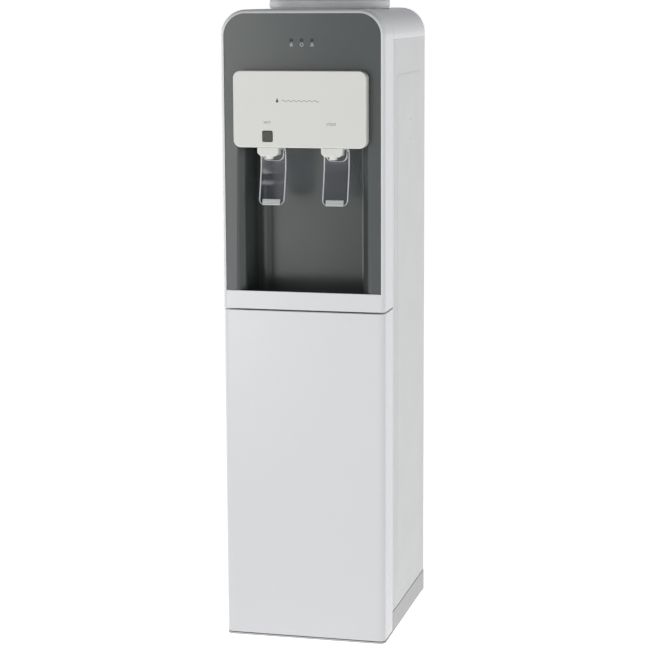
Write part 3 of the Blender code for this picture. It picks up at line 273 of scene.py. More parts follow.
def finish(piece, look, *stands, body="chassis", slot=None, smooth=50, even=True):
    # the look becomes the piece's material; a slot name such as shell_white for shellWhite is worked out
    # unless another is named, but nothing uses it
    settle(piece)
    bpy.ops.object.shade_smooth_by_angle(angle=math.radians(smooth))
    if even:
        step = piece.modifiers.new("even", "WEIGHTED_NORMAL")
        step.keep_sharp = True
        bpy.ops.object.modifier_apply(modifier=step.name)
    piece.data.materials.clear()
    piece.data.materials.append(finishes[look])
    slot = slot or "".join("_" + letter.lower() if letter.isupper() else letter for letter in look)
    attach(piece, body)
    if stands:
        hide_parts(*stands)
    return piece


def refine(node, name, look, width, segments=2, body="chassis", slot=None):
    # a CAD piece whose shape is right: a merged copy of it with eased edges
    rest()
    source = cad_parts[node]
    piece = source.copy()
    piece.data = source.data.copy()
    piece.name = name
    piece.parent = None
    for key in list(piece.keys()):
        del piece[key]
    bpy.context.scene.collection.objects.link(piece)
    openUp(piece)
    bpy.ops.mesh.remove_doubles(threshold=hair)
    bpy.ops.mesh.dissolve_limited(angle_limit=math.radians(1))
    leave()
    soften(piece, width, segments)
    return finish(piece, look, node, body=body, slot=slot)


# finishes

def startLook(name):
    look = bpy.data.materials.new(name)
    look.use_nodes = True
    tree = look.node_tree
    shader = tree.nodes["Principled BSDF"]
    place = tree.nodes.new("ShaderNodeTexCoord").outputs["Object"]
    return look, tree, shader, place


def noise(tree, place, scale, detail=3, stretch=None):
    if stretch:
        mapping = tree.nodes.new("ShaderNodeMapping")
        mapping.inputs["Scale"].default_value = stretch
        tree.links.new(place, mapping.inputs["Vector"])
        place = mapping.outputs["Vector"]
    made = tree.nodes.new("ShaderNodeTexNoise")
    made.inputs["Scale"].default_value = scale
    made.inputs["Detail"].default_value = detail
    tree.links.new(place, made.inputs["Vector"])
    return made.outputs["Fac"]


def spread(tree, value, low, high, fromLow=0.3, fromHigh=0.7):
    made = tree.nodes.new("ShaderNodeMapRange")
    for name, number in (("From Min", fromLow), ("From Max", fromHigh), ("To Min", low), ("To Max", high)):
        made.inputs[name].default_value = number
    tree.links.new(value, made.inputs["Value"])
    return made.outputs["Result"]


def patchy(tree, place, scale, detail, low, high, fromLow=0.3, fromHigh=0.7):
    return spread(tree, noise(tree, place, scale, detail), low, high, fromLow, fromHigh)


def blend(tree, share, first, second):
    made = tree.nodes.new("ShaderNodeMix")
    made.data_type = "RGBA"
    tree.links.new(share, made.inputs[0])
    for socket, colour in ((made.inputs[6], first), (made.inputs[7], second)):
        if isinstance(colour, tuple):
            socket.default_value = (*colour, 1)
        else:
            tree.links.new(colour, socket)
    return made.outputs[2]


def times(tree, first, second):
    made = tree.nodes.new("ShaderNodeMath")
    made.operation = "MULTIPLY"
    tree.links.new(first, made.inputs[0])
    tree.links.new(second, made.inputs[1])
    return made.outputs[0]


def edgeShare(tree, radius):
    # 1 on outer edges, 0 on flat faces
    soft = tree.nodes.new("ShaderNodeBevel")
    soft.samples = 4
    soft.inputs["Radius"].default_value = radius
    real = tree.nodes.new("ShaderNodeNewGeometry")
    both = tree.nodes.new("ShaderNodeVectorMath")
    both.operation = "DOT_PRODUCT"
    tree.links.new(soft.outputs["Normal"], both.inputs[0])
    tree.links.new(real.outputs["Normal"], both.inputs[1])
    return spread(tree, both.outputs["Value"], 0.0, 1.0, 0.995, 0.85)


def relief(tree, shader, height, depth, strength, before=None):
    made = tree.nodes.new("ShaderNodeBump")
    made.inputs["Distance"].default_value = depth
    made.inputs["Strength"].default_value = strength
    tree.links.new(height, made.inputs["Height"])
    if before:
        tree.links.new(before, made.inputs["Normal"])
    tree.links.new(made.outputs["Normal"], shader.inputs["Normal"])
    return made.outputs["Normal"]


def tint(colour, share):
    return tuple(min(channel * share, 1.0) for channel in colour)


def moulded(name, colour, rough, tone, mottle, grain, depth, edgeWearAndHighlight, edgeWearAndHighlightTone,
            roughSpread=0.03, coat=0.0, detail=4, edge=0.0007):
    # moulded or painted surface: slow colour drift, fine skin, uneven gloss, lighter edges (rubbed wear on
    # the dark mouldings, a painted highlight on the white shell and tap panel)
    look, tree, shader, place = startLook(name)
    drift = blend(tree, patchy(tree, place, mottle, detail, 0, 1, 0.2, 0.8), tint(colour, 1 - tone),
                  tint(colour, 1 + tone))
    # edge lightening: real rubbing on dark parts, a painted rim highlight on shellWhite and panelWhite
    edgeTintMask = times(tree, edgeShare(tree, edge), patchy(tree, place, 60, 4, 0.0, edgeWearAndHighlight, 0.35, 0.6))
    tree.links.new(blend(tree, edgeTintMask, drift, tint(colour, edgeWearAndHighlightTone)), shader.inputs["Base Color"])
    gloss = patchy(tree, place, 22, 5, rough - roughSpread, rough + roughSpread)
    tree.links.new(gloss, shader.inputs["Roughness"])
    relief(tree, shader, noise(tree, place, grain, 2), depth * 0.000001, 0.6)
    shader.inputs["Coat Weight"].default_value = coat
    shader.inputs["Coat Roughness"].default_value = 0.2
    return look


def paintedSheet(name, colour, rough, ripple=260.0, depth=0.00006, tone=0.02):
    # powder coat on steel: an orange-peel ripple under a fine grain
    look, tree, shader, place = startLook(name)
    drift = blend(tree, patchy(tree, place, 4, 4, 0, 1), tint(colour, 1 - tone), tint(colour, 1 + tone))
    edgeTintMask = times(tree, edgeShare(tree, 0.0006), patchy(tree, place, 80, 4, 0.0, 0.3, 0.4, 0.6))
    tree.links.new(blend(tree, edgeTintMask, drift, tint(colour, 0.82)), shader.inputs["Base Color"])
    tree.links.new(patchy(tree, place, 16, 4, rough - 0.03, rough + 0.04), shader.inputs["Roughness"])
    skin = relief(tree, shader, noise(tree, place, 1500, 2), 0.00001, 0.5)
    relief(tree, shader, noise(tree, place, ripple, 1), depth, 0.35, skin)
    return look


def brushedMetal(name, colour, rough, stretch=(1, 1, 40), tarnish=(0.35, 0.30, 0.26), dirt=0.15,
                 scale=60.0):
    look, tree, shader, place = startLook(name)
    patches = patchy(tree, place, 35, 5, 0.0, dirt, 0.45, 0.75)
    lines = noise(tree, place, scale, 4, stretch)
    streak = blend(tree, spread(tree, lines, 0, 1), tint(colour, 0.92), tint(colour, 1.05))
    tree.links.new(blend(tree, patches, streak, tarnish), shader.inputs["Base Color"])
    tree.links.new(spread(tree, lines, rough - 0.07, rough + 0.1), shader.inputs["Roughness"])
    relief(tree, shader, lines, 0.00002, 0.4)
    shader.inputs["Metallic"].default_value = 1.0
    return look


def clearPlastic(name, colour, rough=0.05, depth=0.00006):
    look, tree, shader, place = startLook(name)
    cloud = blend(tree, patchy(tree, place, 45, 3, 0, 1), tint(colour, 0.96), tint(colour, 1.03))
    tree.links.new(cloud, shader.inputs["Base Color"])
    tree.links.new(patchy(tree, place, 70, 4, rough * 0.6, rough * 1.6), shader.inputs["Roughness"])
    relief(tree, shader, noise(tree, place, 110, 2), depth, 0.3)
    shader.inputs["Transmission Weight"].default_value = 1.0
    shader.inputs["IOR"].default_value = 1.47
    return look


def beadFoam(name, colour):
    look, tree, shader, place = startLook(name)
    cells = tree.nodes.new("ShaderNodeTexVoronoi")
    cells.inputs["Scale"].default_value = 260
    tree.links.new(place, cells.inputs["Vector"])
    share = spread(tree, cells.outputs["Distance"], 0, 1, 0.1, 0.7)
    tree.links.new(blend(tree, share, colour, tint(colour, 0.72)), shader.inputs["Base Color"])
    tree.links.new(patchy(tree, place, 60, 3, 0.75, 0.92), shader.inputs["Roughness"])
    relief(tree, shader, share, -0.0004, 0.7)
    return look


def circuitBoard(name):
    look, tree, shader, place = startLook(name)
    grid = tree.nodes.new("ShaderNodeTexBrick")
    grid.inputs["Scale"].default_value = 140
    grid.inputs["Mortar Size"].default_value = 0.02
    for socket, colour in (("Color1", (0.010, 0.13, 0.05)), ("Color2", (0.014, 0.17, 0.06)),
                           ("Mortar", (0.35, 0.30, 0.10))):
        grid.inputs[socket].default_value = (*colour, 1)
    mapping = tree.nodes.new("ShaderNodeMapping")
    mapping.inputs["Rotation"].default_value = (math.pi / 2, 0, 0)
    tree.links.new(place, mapping.inputs["Vector"])
    tree.links.new(mapping.outputs["Vector"], grid.inputs["Vector"])
    tree.links.new(grid.outputs["Color"], shader.inputs["Base Color"])
    tree.links.new(patchy(tree, place, 90, 3, 0.3, 0.45), shader.inputs["Roughness"])
    relief(tree, shader, grid.outputs["Fac"], 0.00004, 0.5)
    return look


# colour, roughness, colour drift and its scale, grain and its depth in micrometres, edge lightening amount
# and its tone (rubbed wear, and a painted highlight on the white shell and panel)
mouldings = {
    # the lighter edges of shellWhite and panelWhite are a painted highlight on their rims
    "shellWhite": ((0.725, 0.725, 0.735), 0.24, 0.006, 1.6, 700, 6, 1.0, 1.15),
    "panelWhite": ((0.7, 0.7, 0.665), 0.42, 0.006, 5, 700, 6, 1.0, 1.25),
    "linerWhite": ((0.74, 0.745, 0.75), 0.42, 0.015, 6, 1100, 20, 0.25, 1.12),
    "baseGrey": ((0.52, 0.52, 0.51), 0.45, 0.03, 12, 1200, 40, 0.4, 1.12),
    "fasciaGrey": ((0.058, 0.066, 0.064), 0.24, 0.03, 4, 1600, 12, 0.5, 1.6),
    "trayGrey": ((0.085, 0.092, 0.09), 0.45, 0.07, 30, 1500, 40, 0.5, 1.6),
    "collarGrey": ((0.7, 0.71, 0.72), 0.38, 0.03, 9, 1100, 30, 0.35, 1.12),
    "padGrey": ((0.564, 0.583, 0.564), 0.55, 0.04, 90, 2200, 40, 0.4, 1.12),
    "buttonGrey": ((0.048, 0.051, 0.045), 0.42, 0.06, 120, 2400, 50, 0.6, 1.9),
    "lensBlack": ((0.012, 0.012, 0.014), 0.35, 0.1, 60, 800, 5, 0.0, 1.12),
    "inkGrey": ((0.084, 0.087, 0.084), 0.55, 0.08, 160, 2600, 10, 0.0, 1.12),
    "iconGrey": ((0.3, 0.315, 0.31), 0.5, 0.06, 160, 2600, 10, 0.0, 1.12),
    "blackPlastic": ((0.022, 0.022, 0.024), 0.45, 0.12, 25, 1300, 40, 0.5, 2.5),
    "footRubber": ((0.03, 0.03, 0.03), 0.8, 0.2, 60, 1900, 80, 0.6, 2.4),
    "blackSteel": ((0.018, 0.019, 0.021), 0.38, 0.15, 14, 420, 60, 0.5, 3.0),
    "rockerRed": ((0.42, 0.02, 0.015), 0.3, 0.06, 80, 1500, 20, 0.4, 1.3),
    "rockerBlue": ((0.02, 0.09, 0.38), 0.3, 0.06, 80, 1500, 20, 0.4, 1.3),
    "silicone": ((0.56, 0.57, 0.55), 0.38, 0.04, 40, 700, 20, 0.2, 1.12),
    "spikeWhite": ((0.66, 0.68, 0.69), 0.32, 0.03, 20, 900, 20, 0.3, 1.12),
    "clearRim": ((0.62, 0.64, 0.66), 0.12, 0.03, 30, 500, 20, 0.2, 1.12),
}
glosses = {
    # the 0.003 edge radius of shellWhite and panelWhite widens their painted rim highlight
    "shellWhite": {"roughSpread": 0.01, "coat": 0.2, "detail": 0, "edge": 0.003},
    "panelWhite": {"roughSpread": 0.015, "detail": 1, "edge": 0.003},
    "fasciaGrey": {"roughSpread": 0.02, "coat": 0.1, "detail": 2},
    "blackSteel": {"coat": 0.2},
    "clearRim": {"coat": 0.5},
}
finishes = {name: moulded(name, *row, **glosses.get(name, {})) for name, row in mouldings.items()}
finishes.update({
    "sheetWhite": paintedSheet("sheetWhite", (0.67, 0.67, 0.665), 0.34, tone=0.008),
    "sheetGrey": paintedSheet("sheetGrey", (0.50, 0.50, 0.505), 0.46, tone=0.04),
    "stainless": brushedMetal("stainless", (0.62, 0.62, 0.61), 0.28),
    "zincScrew": brushedMetal("zincScrew", (0.55, 0.55, 0.53), 0.35, stretch=(1, 1, 1), dirt=0.3,
                              scale=300.0),
    "copperPipe": brushedMetal("copperPipe", (0.72, 0.36, 0.22), 0.32, stretch=(1, 1, 1),
                               tarnish=(0.20, 0.08, 0.05), dirt=0.55, scale=90.0),
    "clearBlade": clearPlastic("clearBlade", (0.62, 0.63, 0.69)),
    "beadFoam": beadFoam("beadFoam", (0.78, 0.76, 0.70)),
    "boardGreen": circuitBoard("boardGreen"),
})
print("finishes made:", len(finishes))


# front shell, a closed frame round the fascia with a rail across it

def archBlock(name, half, bottom, top, radius, front, back, steps=16):
    piece = block(name, (-half, front, bottom), (half, back, top))
    roundOff(piece, radius, steps, running("y", lambda middle: middle.z > top - hair))
    return piece


shell = {"cornerRadius": 0.042, "edgeRadius": 0.008, "lip": 0.006, "lipThickness": 0.0015, "wall": 0.0025,
         "railHeight": 0.0291, "railSeam": 0.0009}


def makeFrontShell():
    low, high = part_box("front_frame")
    half, front, back, bottom, top = high.x, low.y, high.y, low.z, high.z
    railTop, wall, lip = bottom + shell["railHeight"], shell["wall"], shell["lip"]
    piece = archBlock("frontShell", half, bottom, top, shell["cornerRadius"], front, back)
    roundOff(piece, shell["edgeRadius"], 8, lambda middle,
             way: middle.y < front + hair and middle.z > bottom + hair)
    pocket = archBlock("pocket", half - wall, bottom + wall, top - wall, shell["cornerRadius"] - wall,
                       front + shell["lipThickness"], back + wall)
    level = front + shell["lipThickness"] + hair
    roundOff(pocket, shell["edgeRadius"] - 0.002, 8, lambda middle,
             way: middle.y < level and middle.z > bottom + wall + hair)
    opening = archBlock("opening", half - lip, railTop, top - lip, shell["cornerRadius"] - lip,
                        front - wall, front + 0.008)
    seam = shell["railSeam"] / 2
    groove = block("groove", (-half - wall, front - wall, railTop - seam),
                   (half + wall, front + 0.0007, railTop + seam))
    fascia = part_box("fascia")
    well = block("well", (fascia[0].x + 0.034, front + 0.012, bottom - wall),
                 (fascia[1].x - 0.034, back + wall, bottom + 2 * wall))
    carve(piece, pocket, opening, groove, well)
    soften(piece, 0.0004, 2, 38)
    return finish(piece, "shellWhite", "front_frame")


makeFrontShell()
print("front shell made")


# fascia with the alcove and the well of the tray

fascia = {"inset": 0.0063, "cornerRadius": 0.0357, "step": 0.003, "wall": 0.0025, "alcoveMargin": 0.0385,
          "alcoveDepth": 0.0912, "alcoveCorner": 0.020, "mouth": 0.012, "mouthEase": 0.0045,
          "alcoveHeight": 0.2573, "grilleDrop": 0.016, "trayFront": 0.0165}


def recessBlock(name, half, front, back, bottom, top, corner, mouth=0.0, ease=0.0, beyond=0.0):
    piece = block(name, (-half, front + mouth, bottom), (half, back, top))
    roundOff(piece, corner, 12, running("z", lambda middle: middle.y > back - hair))
    facing = lambda centre, normal: normal.y < -0.9
    if mouth:
        pull(piece, facing, (0, -mouth, 0))
        choose(piece, "FACE", facing)
        bpy.ops.transform.resize(value=((half + mouth) / half, 1, 1), center_override=(0, front, bottom))
        leave()
        if ease:
            roundOff(piece, ease, 6, running("z", lambda middle: abs(middle.y - front - mouth) < hair))
    if beyond:
        pull(piece, facing, (0, -beyond, 0))
    return piece


def makeFascia():
    low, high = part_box("fascia")
    shellLow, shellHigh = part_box("front_frame")
    front, bottom = low.y, low.z
    half = shellHigh.x - fascia["inset"]
    railTop = shellLow.z + shell["railHeight"]
    top = shellHigh.z - fascia["inset"]
    wall, room = fascia["wall"], shellHigh.x - fascia["alcoveMargin"]
    ceiling, grille = railTop + fascia["alcoveHeight"], railTop - fascia["grilleDrop"]
    rear = front + fascia["step"] + wall
    deep = front + fascia["alcoveDepth"]
    piece = archBlock("fasciaPanel", half, railTop + 0.0003, top, fascia["cornerRadius"], front, rear)
    lower = block("lower", (-half - 0.002, rear - wall, shellLow.z + wall + 0.0003),
                  (half + 0.002, rear, railTop + 0.01))
    lining = recessBlock("room", room + wall, front + fascia["step"], deep + wall, bottom + 0.006,
                         ceiling + wall,
                        fascia["alcoveCorner"] + wall, fascia["mouth"])
    wellFront = shellLow.y + fascia["trayFront"]
    well = recessBlock("well", room + wall, wellFront - wall, deep + wall, bottom, grille,
                       fascia["alcoveCorner"] + wall)
    carve(piece, lower, lining, well, how="UNION")
    hollow = recessBlock("hollow", room, front, deep, grille, ceiling, fascia["alcoveCorner"],
                         fascia["mouth"],
                         fascia["mouthEase"], 0.004)
    seat = recessBlock("seat", room - 0.0018, wellFront, deep - 0.0005, bottom + 0.0015, grille + wall,
                       fascia["alcoveCorner"] - 0.0005)
    carve(piece, hollow, seat)
    height = middleOf("light_guide").z
    for x in (-0.017, 0.0, 0.017):
        carve(piece, rod("window", 0.0026, front - 0.01, rear + 0.01, (x, 0, height), "y", 32))
    # the long creases of the mouth are eased by hand
    roundOff(piece, 0.003, 5, lambda middle, way: abs(way.z) > 0.9
             and abs(abs(middle.x) - room - fascia["mouth"]) < 0.0001
             and middle.y < front + 0.0001 and railTop < middle.z < ceiling)
    soften(piece, 0.0003, 2, 40)
    return finish(piece, "fasciaGrey", "fascia")


makeFascia()
refine("light_guide", "lightWindows", "lensBlack", 0.00025)
refine("indicator_board", "lightBoard", "boardGreen", 0.0002)


# printed marks: three signs under the windows, HOT and COLD, and a drop over a line of water

signs = {"drop": 0.0071, "size": 0.0033, "thickness": 0.0001}


def flatShape(name, outline, front):
    # an outline in x and z filled and given a hair of thickness
    rest()
    bpy.ops.mesh.primitive_circle_add(vertices=len(outline), radius=0.01, fill_type="NGON")
    piece = bpy.context.object
    piece.name = name
    settle(piece)
    for point, (x, z) in zip(piece.data.vertices, outline):
        point.co = (x, front, z)
    openUp(piece)
    bpy.ops.mesh.extrude_region_move(TRANSFORM_OT_translate={"value": (0, -signs["thickness"], 0)})
    faceOut()
    return piece


def circlePoints(x, z, radius, start=0, end=360, steps=32):
    count = steps + (abs(end - start) < 360)
    angles = [math.radians(start + (end - start) * step / steps) for step in range(count)]
    return [(x + radius * math.cos(angle), z + radius * math.sin(angle)) for angle in angles]


def dropPoints(x, z, radius, tip):
    side = circlePoints(x, z, radius, 150, 390, 28)
    return side + [(x + radius * 0.32, z + tip * 0.62), (x, z + tip), (x - radius * 0.32, z + tip * 0.62)]


def makeSigns():
    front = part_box("fascia")[0].y + 0.00003
    z = middleOf("light_guide").z - signs["drop"]
    size = signs["size"]
    heat = flatShape("heatSign", dropPoints(-0.017, z - 0.0006, size * 0.85, size * 1.7), front)
    ring = turn("powerSign", [(size, 0), (size, signs["thickness"]), (size * 0.55, signs["thickness"]),
                              (size * 0.55, 0)],
                (0, front - signs["thickness"], z), "y", 40, closed=True)
    corners = [(0.017 - size, z - size * 0.8), (0.017 + size, z - size * 0.8),
               (0.017 + size * 0.25, z + size),
               (0.017 - size * 0.25, z + size)]
    cool = flatShape("coolSign", corners, front)
    for piece in (heat, ring, cool):
        finish(piece, "iconGrey", even=False, slot="lens_black")


makeSigns()

marks = {"hotHeight": 0.862, "coldHeight": 0.860, "textSize": 0.0056, "dropHeight": 0.897,
         "waveLength": 0.060}


def makeText(name, words, place):
    rest()
    bpy.ops.object.text_add(location=(0, 0, 0))
    piece = bpy.context.object
    piece.data.body = words
    piece.data.size = marks["textSize"]
    piece.data.align_x = "CENTER"
    piece.data.align_y = "CENTER"
    piece.data.extrude = 0.00005
    piece.data.resolution_u = 4
    bpy.ops.object.convert(target="MESH")
    piece = bpy.context.object
    piece.name = name
    piece.rotation_euler.x = math.pi / 2
    piece.location = place
    return finish(piece, "inkGrey", slot="panel_white", even=False)


def makeMarks():
    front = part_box("tap_panel")[0].y - 0.00002
    x = middleOf("tap_body_hot").x
    makeText("hotLabel", "HOT", (x, front, marks["hotHeight"]))
    makeText("coldLabel", "COLD", (-x, front, marks["coldHeight"]))
    z = marks["dropHeight"]
    drop = flatShape("drop", dropPoints(-0.036, z - 0.0012, 0.0022, 0.0058), front + 0.00005)
    length = marks["waveLength"]
    route = []
    for step in range(121):
        share = step / 120
        route.append((-0.028 + length * share, front + 0.00004,
                      z - 0.0006 + 0.0012 * math.sin(share * math.pi * 14)))
    wave = pipe("wave", route, 0.00032, 2)
    openUp(wave)
    bpy.ops.transform.resize(value=(1, 0.3, 1), center_override=(0, front, z))
    leave()
    finish(merge("waterMark", drop, wave), "inkGrey", even=False, slot="panel_white")


makeMarks()
print("fascia and printed marks made")


# tap panel, lock button, taps

panel = {"cornerRadius": 0.012, "edgeRadius": 0.0018, "wall": 0.0025, "notch": 0.0181,
         "buttonHalf": (0.0081, 0.0085), "buttonGap": 0.00045, "buttonCorner": 0.0024}


def makeTapPanel():
    low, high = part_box("tap_panel")
    buttonLow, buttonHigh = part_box("child_lock_button")
    tapX, wall = middleOf("tap_body_hot").x, panel["wall"]
    piece = block("tapPanel", low, high)
    roundOff(piece, panel["cornerRadius"], 10, running("y"))
    roundOff(piece, panel["edgeRadius"], 6, lambda middle, way: middle.y < low.y + hair)
    inner = block("inner", (low.x + wall, low.y + wall, low.z + wall),
                  (high.x - wall, high.y + wall, high.z - wall))
    roundOff(inner, panel["cornerRadius"] - wall, 8, running("y"))
    tools = [inner]
    for x in (tapX, -tapX):
        tools.append(block("notch", (x - panel["notch"], low.y + wall, low.z - wall),
                           (x + panel["notch"], high.y + wall, low.z + 2 * wall)))
    middle = (buttonLow + buttonHigh) / 2
    middle.y = low.y
    gap = panel["buttonGap"]
    wide, tall = panel["buttonHalf"][0] + gap, panel["buttonHalf"][1] + gap
    hole = block("hole", (middle.x - wide, low.y - wall, middle.z - tall),
                 (middle.x + wide, low.y + 2 * wall, middle.z + tall))
    roundOff(hole, panel["buttonCorner"], 6, running("y"))
    carve(piece, *tools, hole)
    roundOff(piece, 0.0009, 4, lambda spot, way: spot.y < low.y + hair and (spot - middle).length < 0.0135)
    soften(piece, 0.0003, 2, 42)
    finish(piece, "panelWhite", "tap_panel")
    # the button has a flange behind the panel
    wide, tall = (half - 0.0001 for half in panel["buttonHalf"])
    button = block("lockButton", (middle.x - wide, buttonLow.y, middle.z - tall),
                   (middle.x + wide, low.y + wall + 0.0010, middle.z + tall))
    roundOff(button, panel["buttonCorner"] - 0.0003, 6, running("y"))
    roundOff(button, 0.0009, 5, lambda spot, way: spot.y < buttonLow.y + hair)
    flange = block("flange", (buttonLow.x, low.y + wall + 0.0003, buttonLow.z),
                   (buttonHigh.x, low.y + wall + 0.0018, buttonHigh.z))
    roundOff(flange, 0.001, 3, running("y"))
    return finish(merge("lockButton", button, flange), "buttonGrey", "child_lock_button",
                  body="lock_button")


makeTapPanel()

tap = {"width": 0.0354, "plate": 0.005, "narrow": 0.0135, "depthBehind": 0.0155, "bodyDrop": 0.014,
       "bore": 0.003}


def makeTaps():
    low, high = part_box("tap_body_hot")
    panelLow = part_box("tap_panel")[0]
    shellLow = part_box("front_frame")[0]
    x = (low.x + high.x) / 2
    half = tap["width"] / 2
    line = panelLow.z
    bottom = line - tap["bodyDrop"]
    body = block("body", (x - half, low.y, bottom), (x + half, low.y + tap["plate"], line - 0.0003))
    roundOff(body, 0.0052, 1, running("y", lambda middle: middle.z < bottom + hair))
    roundOff(body, 0.0022, 4, lambda middle, way: middle.y < low.y + hair and abs(way.z) > 0.4)
    narrow = tap["narrow"]
    behind = block("behind", (x - narrow, low.y + 0.003, bottom + 0.0012),
                   (x + narrow, shellLow.y + tap["depthBehind"], line - 0.0008))
    upper = block("upper", (x - half, shellLow.y - 0.009, line - 0.004),
                  (x + half, shellLow.y + 0.0125, line + 0.0224))
    neck = block("neck", (x - 0.009, shellLow.y - 0.009, line + 0.021),
                 (x + 0.009, shellLow.y + 0.0012, high.z))
    tail = rod("tail", 0.0055, shellLow.y - 0.002, high.y, (x, 0, line + 0.0345), "y", 32)
    spoutY = shellLow.y - 0.0045
    spout = turn("spout", [(0.0071, bottom + 0.003), (0.0071, bottom - 0.0008), (0.0065, bottom - 0.0014),
                           (0.0065, low.z - 0.0006),
                           (0.0059, low.z - 0.0012)], (x, spoutY, 0), "z", 48)
    carve(body, behind, upper, neck, tail, spout, how="UNION")
    bore = turn("bore", [(tap["bore"] + 0.0012, low.z - 0.002), (tap["bore"], low.z - 0.0002),
                         (tap["bore"], line + 0.0345)],
                (x, spoutY, 0), "z", 32)
    feed = rod("feed", tap["bore"], spoutY, high.y + 0.01, (x, 0, line + 0.0345), "y", 24)
    stem = (x, 0, middleOf("valve_stem_hot").z)
    chamber = rod("chamber", 0.0042, shellLow.y - 0.0065, shellLow.y + 0.02, stem, "y", 32)
    pinMiddle = middleOf("lever_pin_hot")
    pinHole = rod("pinHole", 0.00205, -half - 0.01, half + 0.01, pinMiddle, "x", 24)
    carve(body, bore, feed, chamber, pinHole)
    soften(body, 0.0005, 3, 38)
    cold = twin(body, "tapCold", (-2 * x, 0, 0))
    body.name = "tapHot"
    finish(body, "panelWhite", "tap_body_hot")
    finish(cold, "panelWhite", "tap_body_cold")
    for name in ("Hot", "Cold"):
        node = "lever_pin_" + name.lower()
        start, end = (corner.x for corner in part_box(node))
        profile = [(0.0012, start), (0.00175, start + 0.0006), (0.00175, end - 0.0006), (0.0012, end)]
        pin = turn("leverPin" + name, profile, (0, pinMiddle.y, pinMiddle.z), "x", 32)
        finish(pin, "stainless", node)


makeTaps()
print("tap panel and taps made")


# levers: a clear blade with a bead along its edge, a ring under the spout and two ears on the pin

lever = {"topAbovePivot": 0.013, "length": 0.1045, "foot": 0.004, "behindFront": 0.0183, "bow": 0.0020,
         "sweep": 0.0150, "thickness": 0.0024, "half": 0.0213, "corner": 0.010, "bead": 0.0011,
         "window": 0.0165, "windowFloor": 0.0235, "windowCorner": 0.010, "earInner": 0.0183}


def leverLine(z, pivotZ, front):
    # where the blade's middle runs, seen from the side
    span = lever["length"] + lever["topAbovePivot"]
    drop = min(max((pivotZ + lever["topAbovePivot"] - z) / span, 0), 1)
    bow = lever["bow"] * math.sin(math.pi * min(drop / 0.62, 1))
    return front + lever["behindFront"] + bow - lever["sweep"] * (max(drop - 0.42, 0) / 0.58) ** 1.6


def makeLevers():
    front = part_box("front_frame")[0].y
    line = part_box("tap_panel")[0].z
    pivot = middleOf("lever_pin_hot")
    x, half, thick = pivot.x, lever["half"], lever["thickness"] / 2
    bottom = pivot.z - lever["length"] + lever["foot"]
    top = pivot.z + lever["topAbovePivot"]
    blade = block("blade", (x - half, -thick, bottom), (x + half, thick, top))
    roundOff(blade, lever["corner"], 8, running("y", lambda middle: middle.z < bottom + hair))
    floor, room, corner = line - lever["windowFloor"], lever["window"], lever["windowCorner"]
    opening = block("opening", (x - room, -0.01, floor), (x + room, 0.01, pivot.z + 0.007))
    roundOff(opening, corner, 8, running("y", lambda middle: middle.z < floor + hair))
    carve(blade, opening)
    cutAcross(blade, "z", [bottom + (top - bottom) * step / 28 for step in range(1, 28)])
    for point in blade.data.vertices:
        point.co.y += leverLine(point.co.z, pivot.z, front)
    soften(blade, 0.0005, 2, 50)
    # a bead down each side that thins out round the foot
    beads = []
    for side in (-1, 1):
        inset, turnAt = half - lever["bead"] * 0.8, bottom + lever["corner"]
        outline = [(inset, top - (top - turnAt) * step / 24) for step in range(25)]
        outline += circlePoints(inset - lever["corner"] + 0.0004, turnAt, lever["corner"] - 0.0004, 0, -78,
                                9)[1:]
        weights = [min(0.55 + 0.06 * step, 1) for step in range(25)]
        weights += [1 - 0.09 * step for step in range(1, len(outline) - 24)]
        route = [(x + side * px, leverLine(pz, pivot.z, front) - thick - 0.0002, pz) for px, pz in outline]
        beads.append(pipe("bead", route, lever["bead"], 4, weights=weights))
        # the lip of the window is thick at its corners
        lip = [(room + 0.0004, pivot.z + 0.002), (room + 0.0004, floor + corner + 0.004)]
        lip += circlePoints(room + 0.0004 - corner, floor + corner, corner, 0, -90, 10)
        lip.append((0.0002, floor))
        weights = [0.5, 0.7, 1, 1, 1, 1, 0.95, 0.85, 0.7, 0.55, 0.45, 0.4, 0.35, 0.35]
        route = [(x + side * px, leverLine(pz, pivot.z, front) - thick - 0.0003, pz) for px, pz in lip]
        beads.append(pipe("lip", route, 0.0011, 4, weights=weights))
    ears = []
    for side in (-1, 1):
        inner, outer = x + side * lever["earInner"], x + side * (half - 0.0002)
        start, end = sorted((inner, outer))
        centre = (0, pivot.y, pivot.z)
        ear = block("ear", (start, pivot.y, pivot.z - 0.0135), (end, front + 0.0175, pivot.z + 0.0052))
        carve(ear, rod("eye", 0.0052, start - 0.0001, end + 0.0001, centre, "x", 40), how="UNION")
        shift(ear, lambda place: place.z < pivot.z - 0.013 and place.y < pivot.y + 0.001, (0, 0.010, 0))
        carve(ear, rod("eyeHole", 0.0021, inner - side * 0.01, outer + side * 0.01, centre, "x", 24))
        soften(ear, 0.0004, 2, 40)
        ears.append(ear)
    trim = merge("leverTrimHot", *beads, *ears)
    blade.name = "leverHot"
    coldBlade = twin(blade, "leverCold", (-2 * x, 0, 0))
    coldTrim = twin(trim, "leverTrimCold", (-2 * x, 0, 0))
    for name, glass, rim in (("hot", blade, trim), ("cold", coldBlade, coldTrim)):
        finish(glass, "clearBlade", "lever_" + name, body=name + "_lever")
        finish(rim, "clearRim", body=name + "_lever", slot="clear_blade", even=False)


makeLevers()
for name in ("hot", "cold"):
    refine("push_pad_" + name, "pushPad" + name.title(), "padGrey", 0.0003, body=name + "_lever")
for name in ("hot", "cold"):
    refine("valve_stem_" + name, "valveStem" + name.title(), "spikeWhite", 0.0002, body=name + "_stem",
           slot="silicone")
print("levers made")


# bottle seat: ring, funnel and neck in one moulding, with the probe standing in it

seat = {"radius": 0.1005, "neck": 0.0335}


def arcPairs(radius, height, size, start, end, steps=5):
    angles = [math.radians(start + (end - start) * step / steps) for step in range(steps + 1)]
    return [(radius + size * math.cos(angle), height + size * math.sin(angle)) for angle in angles]


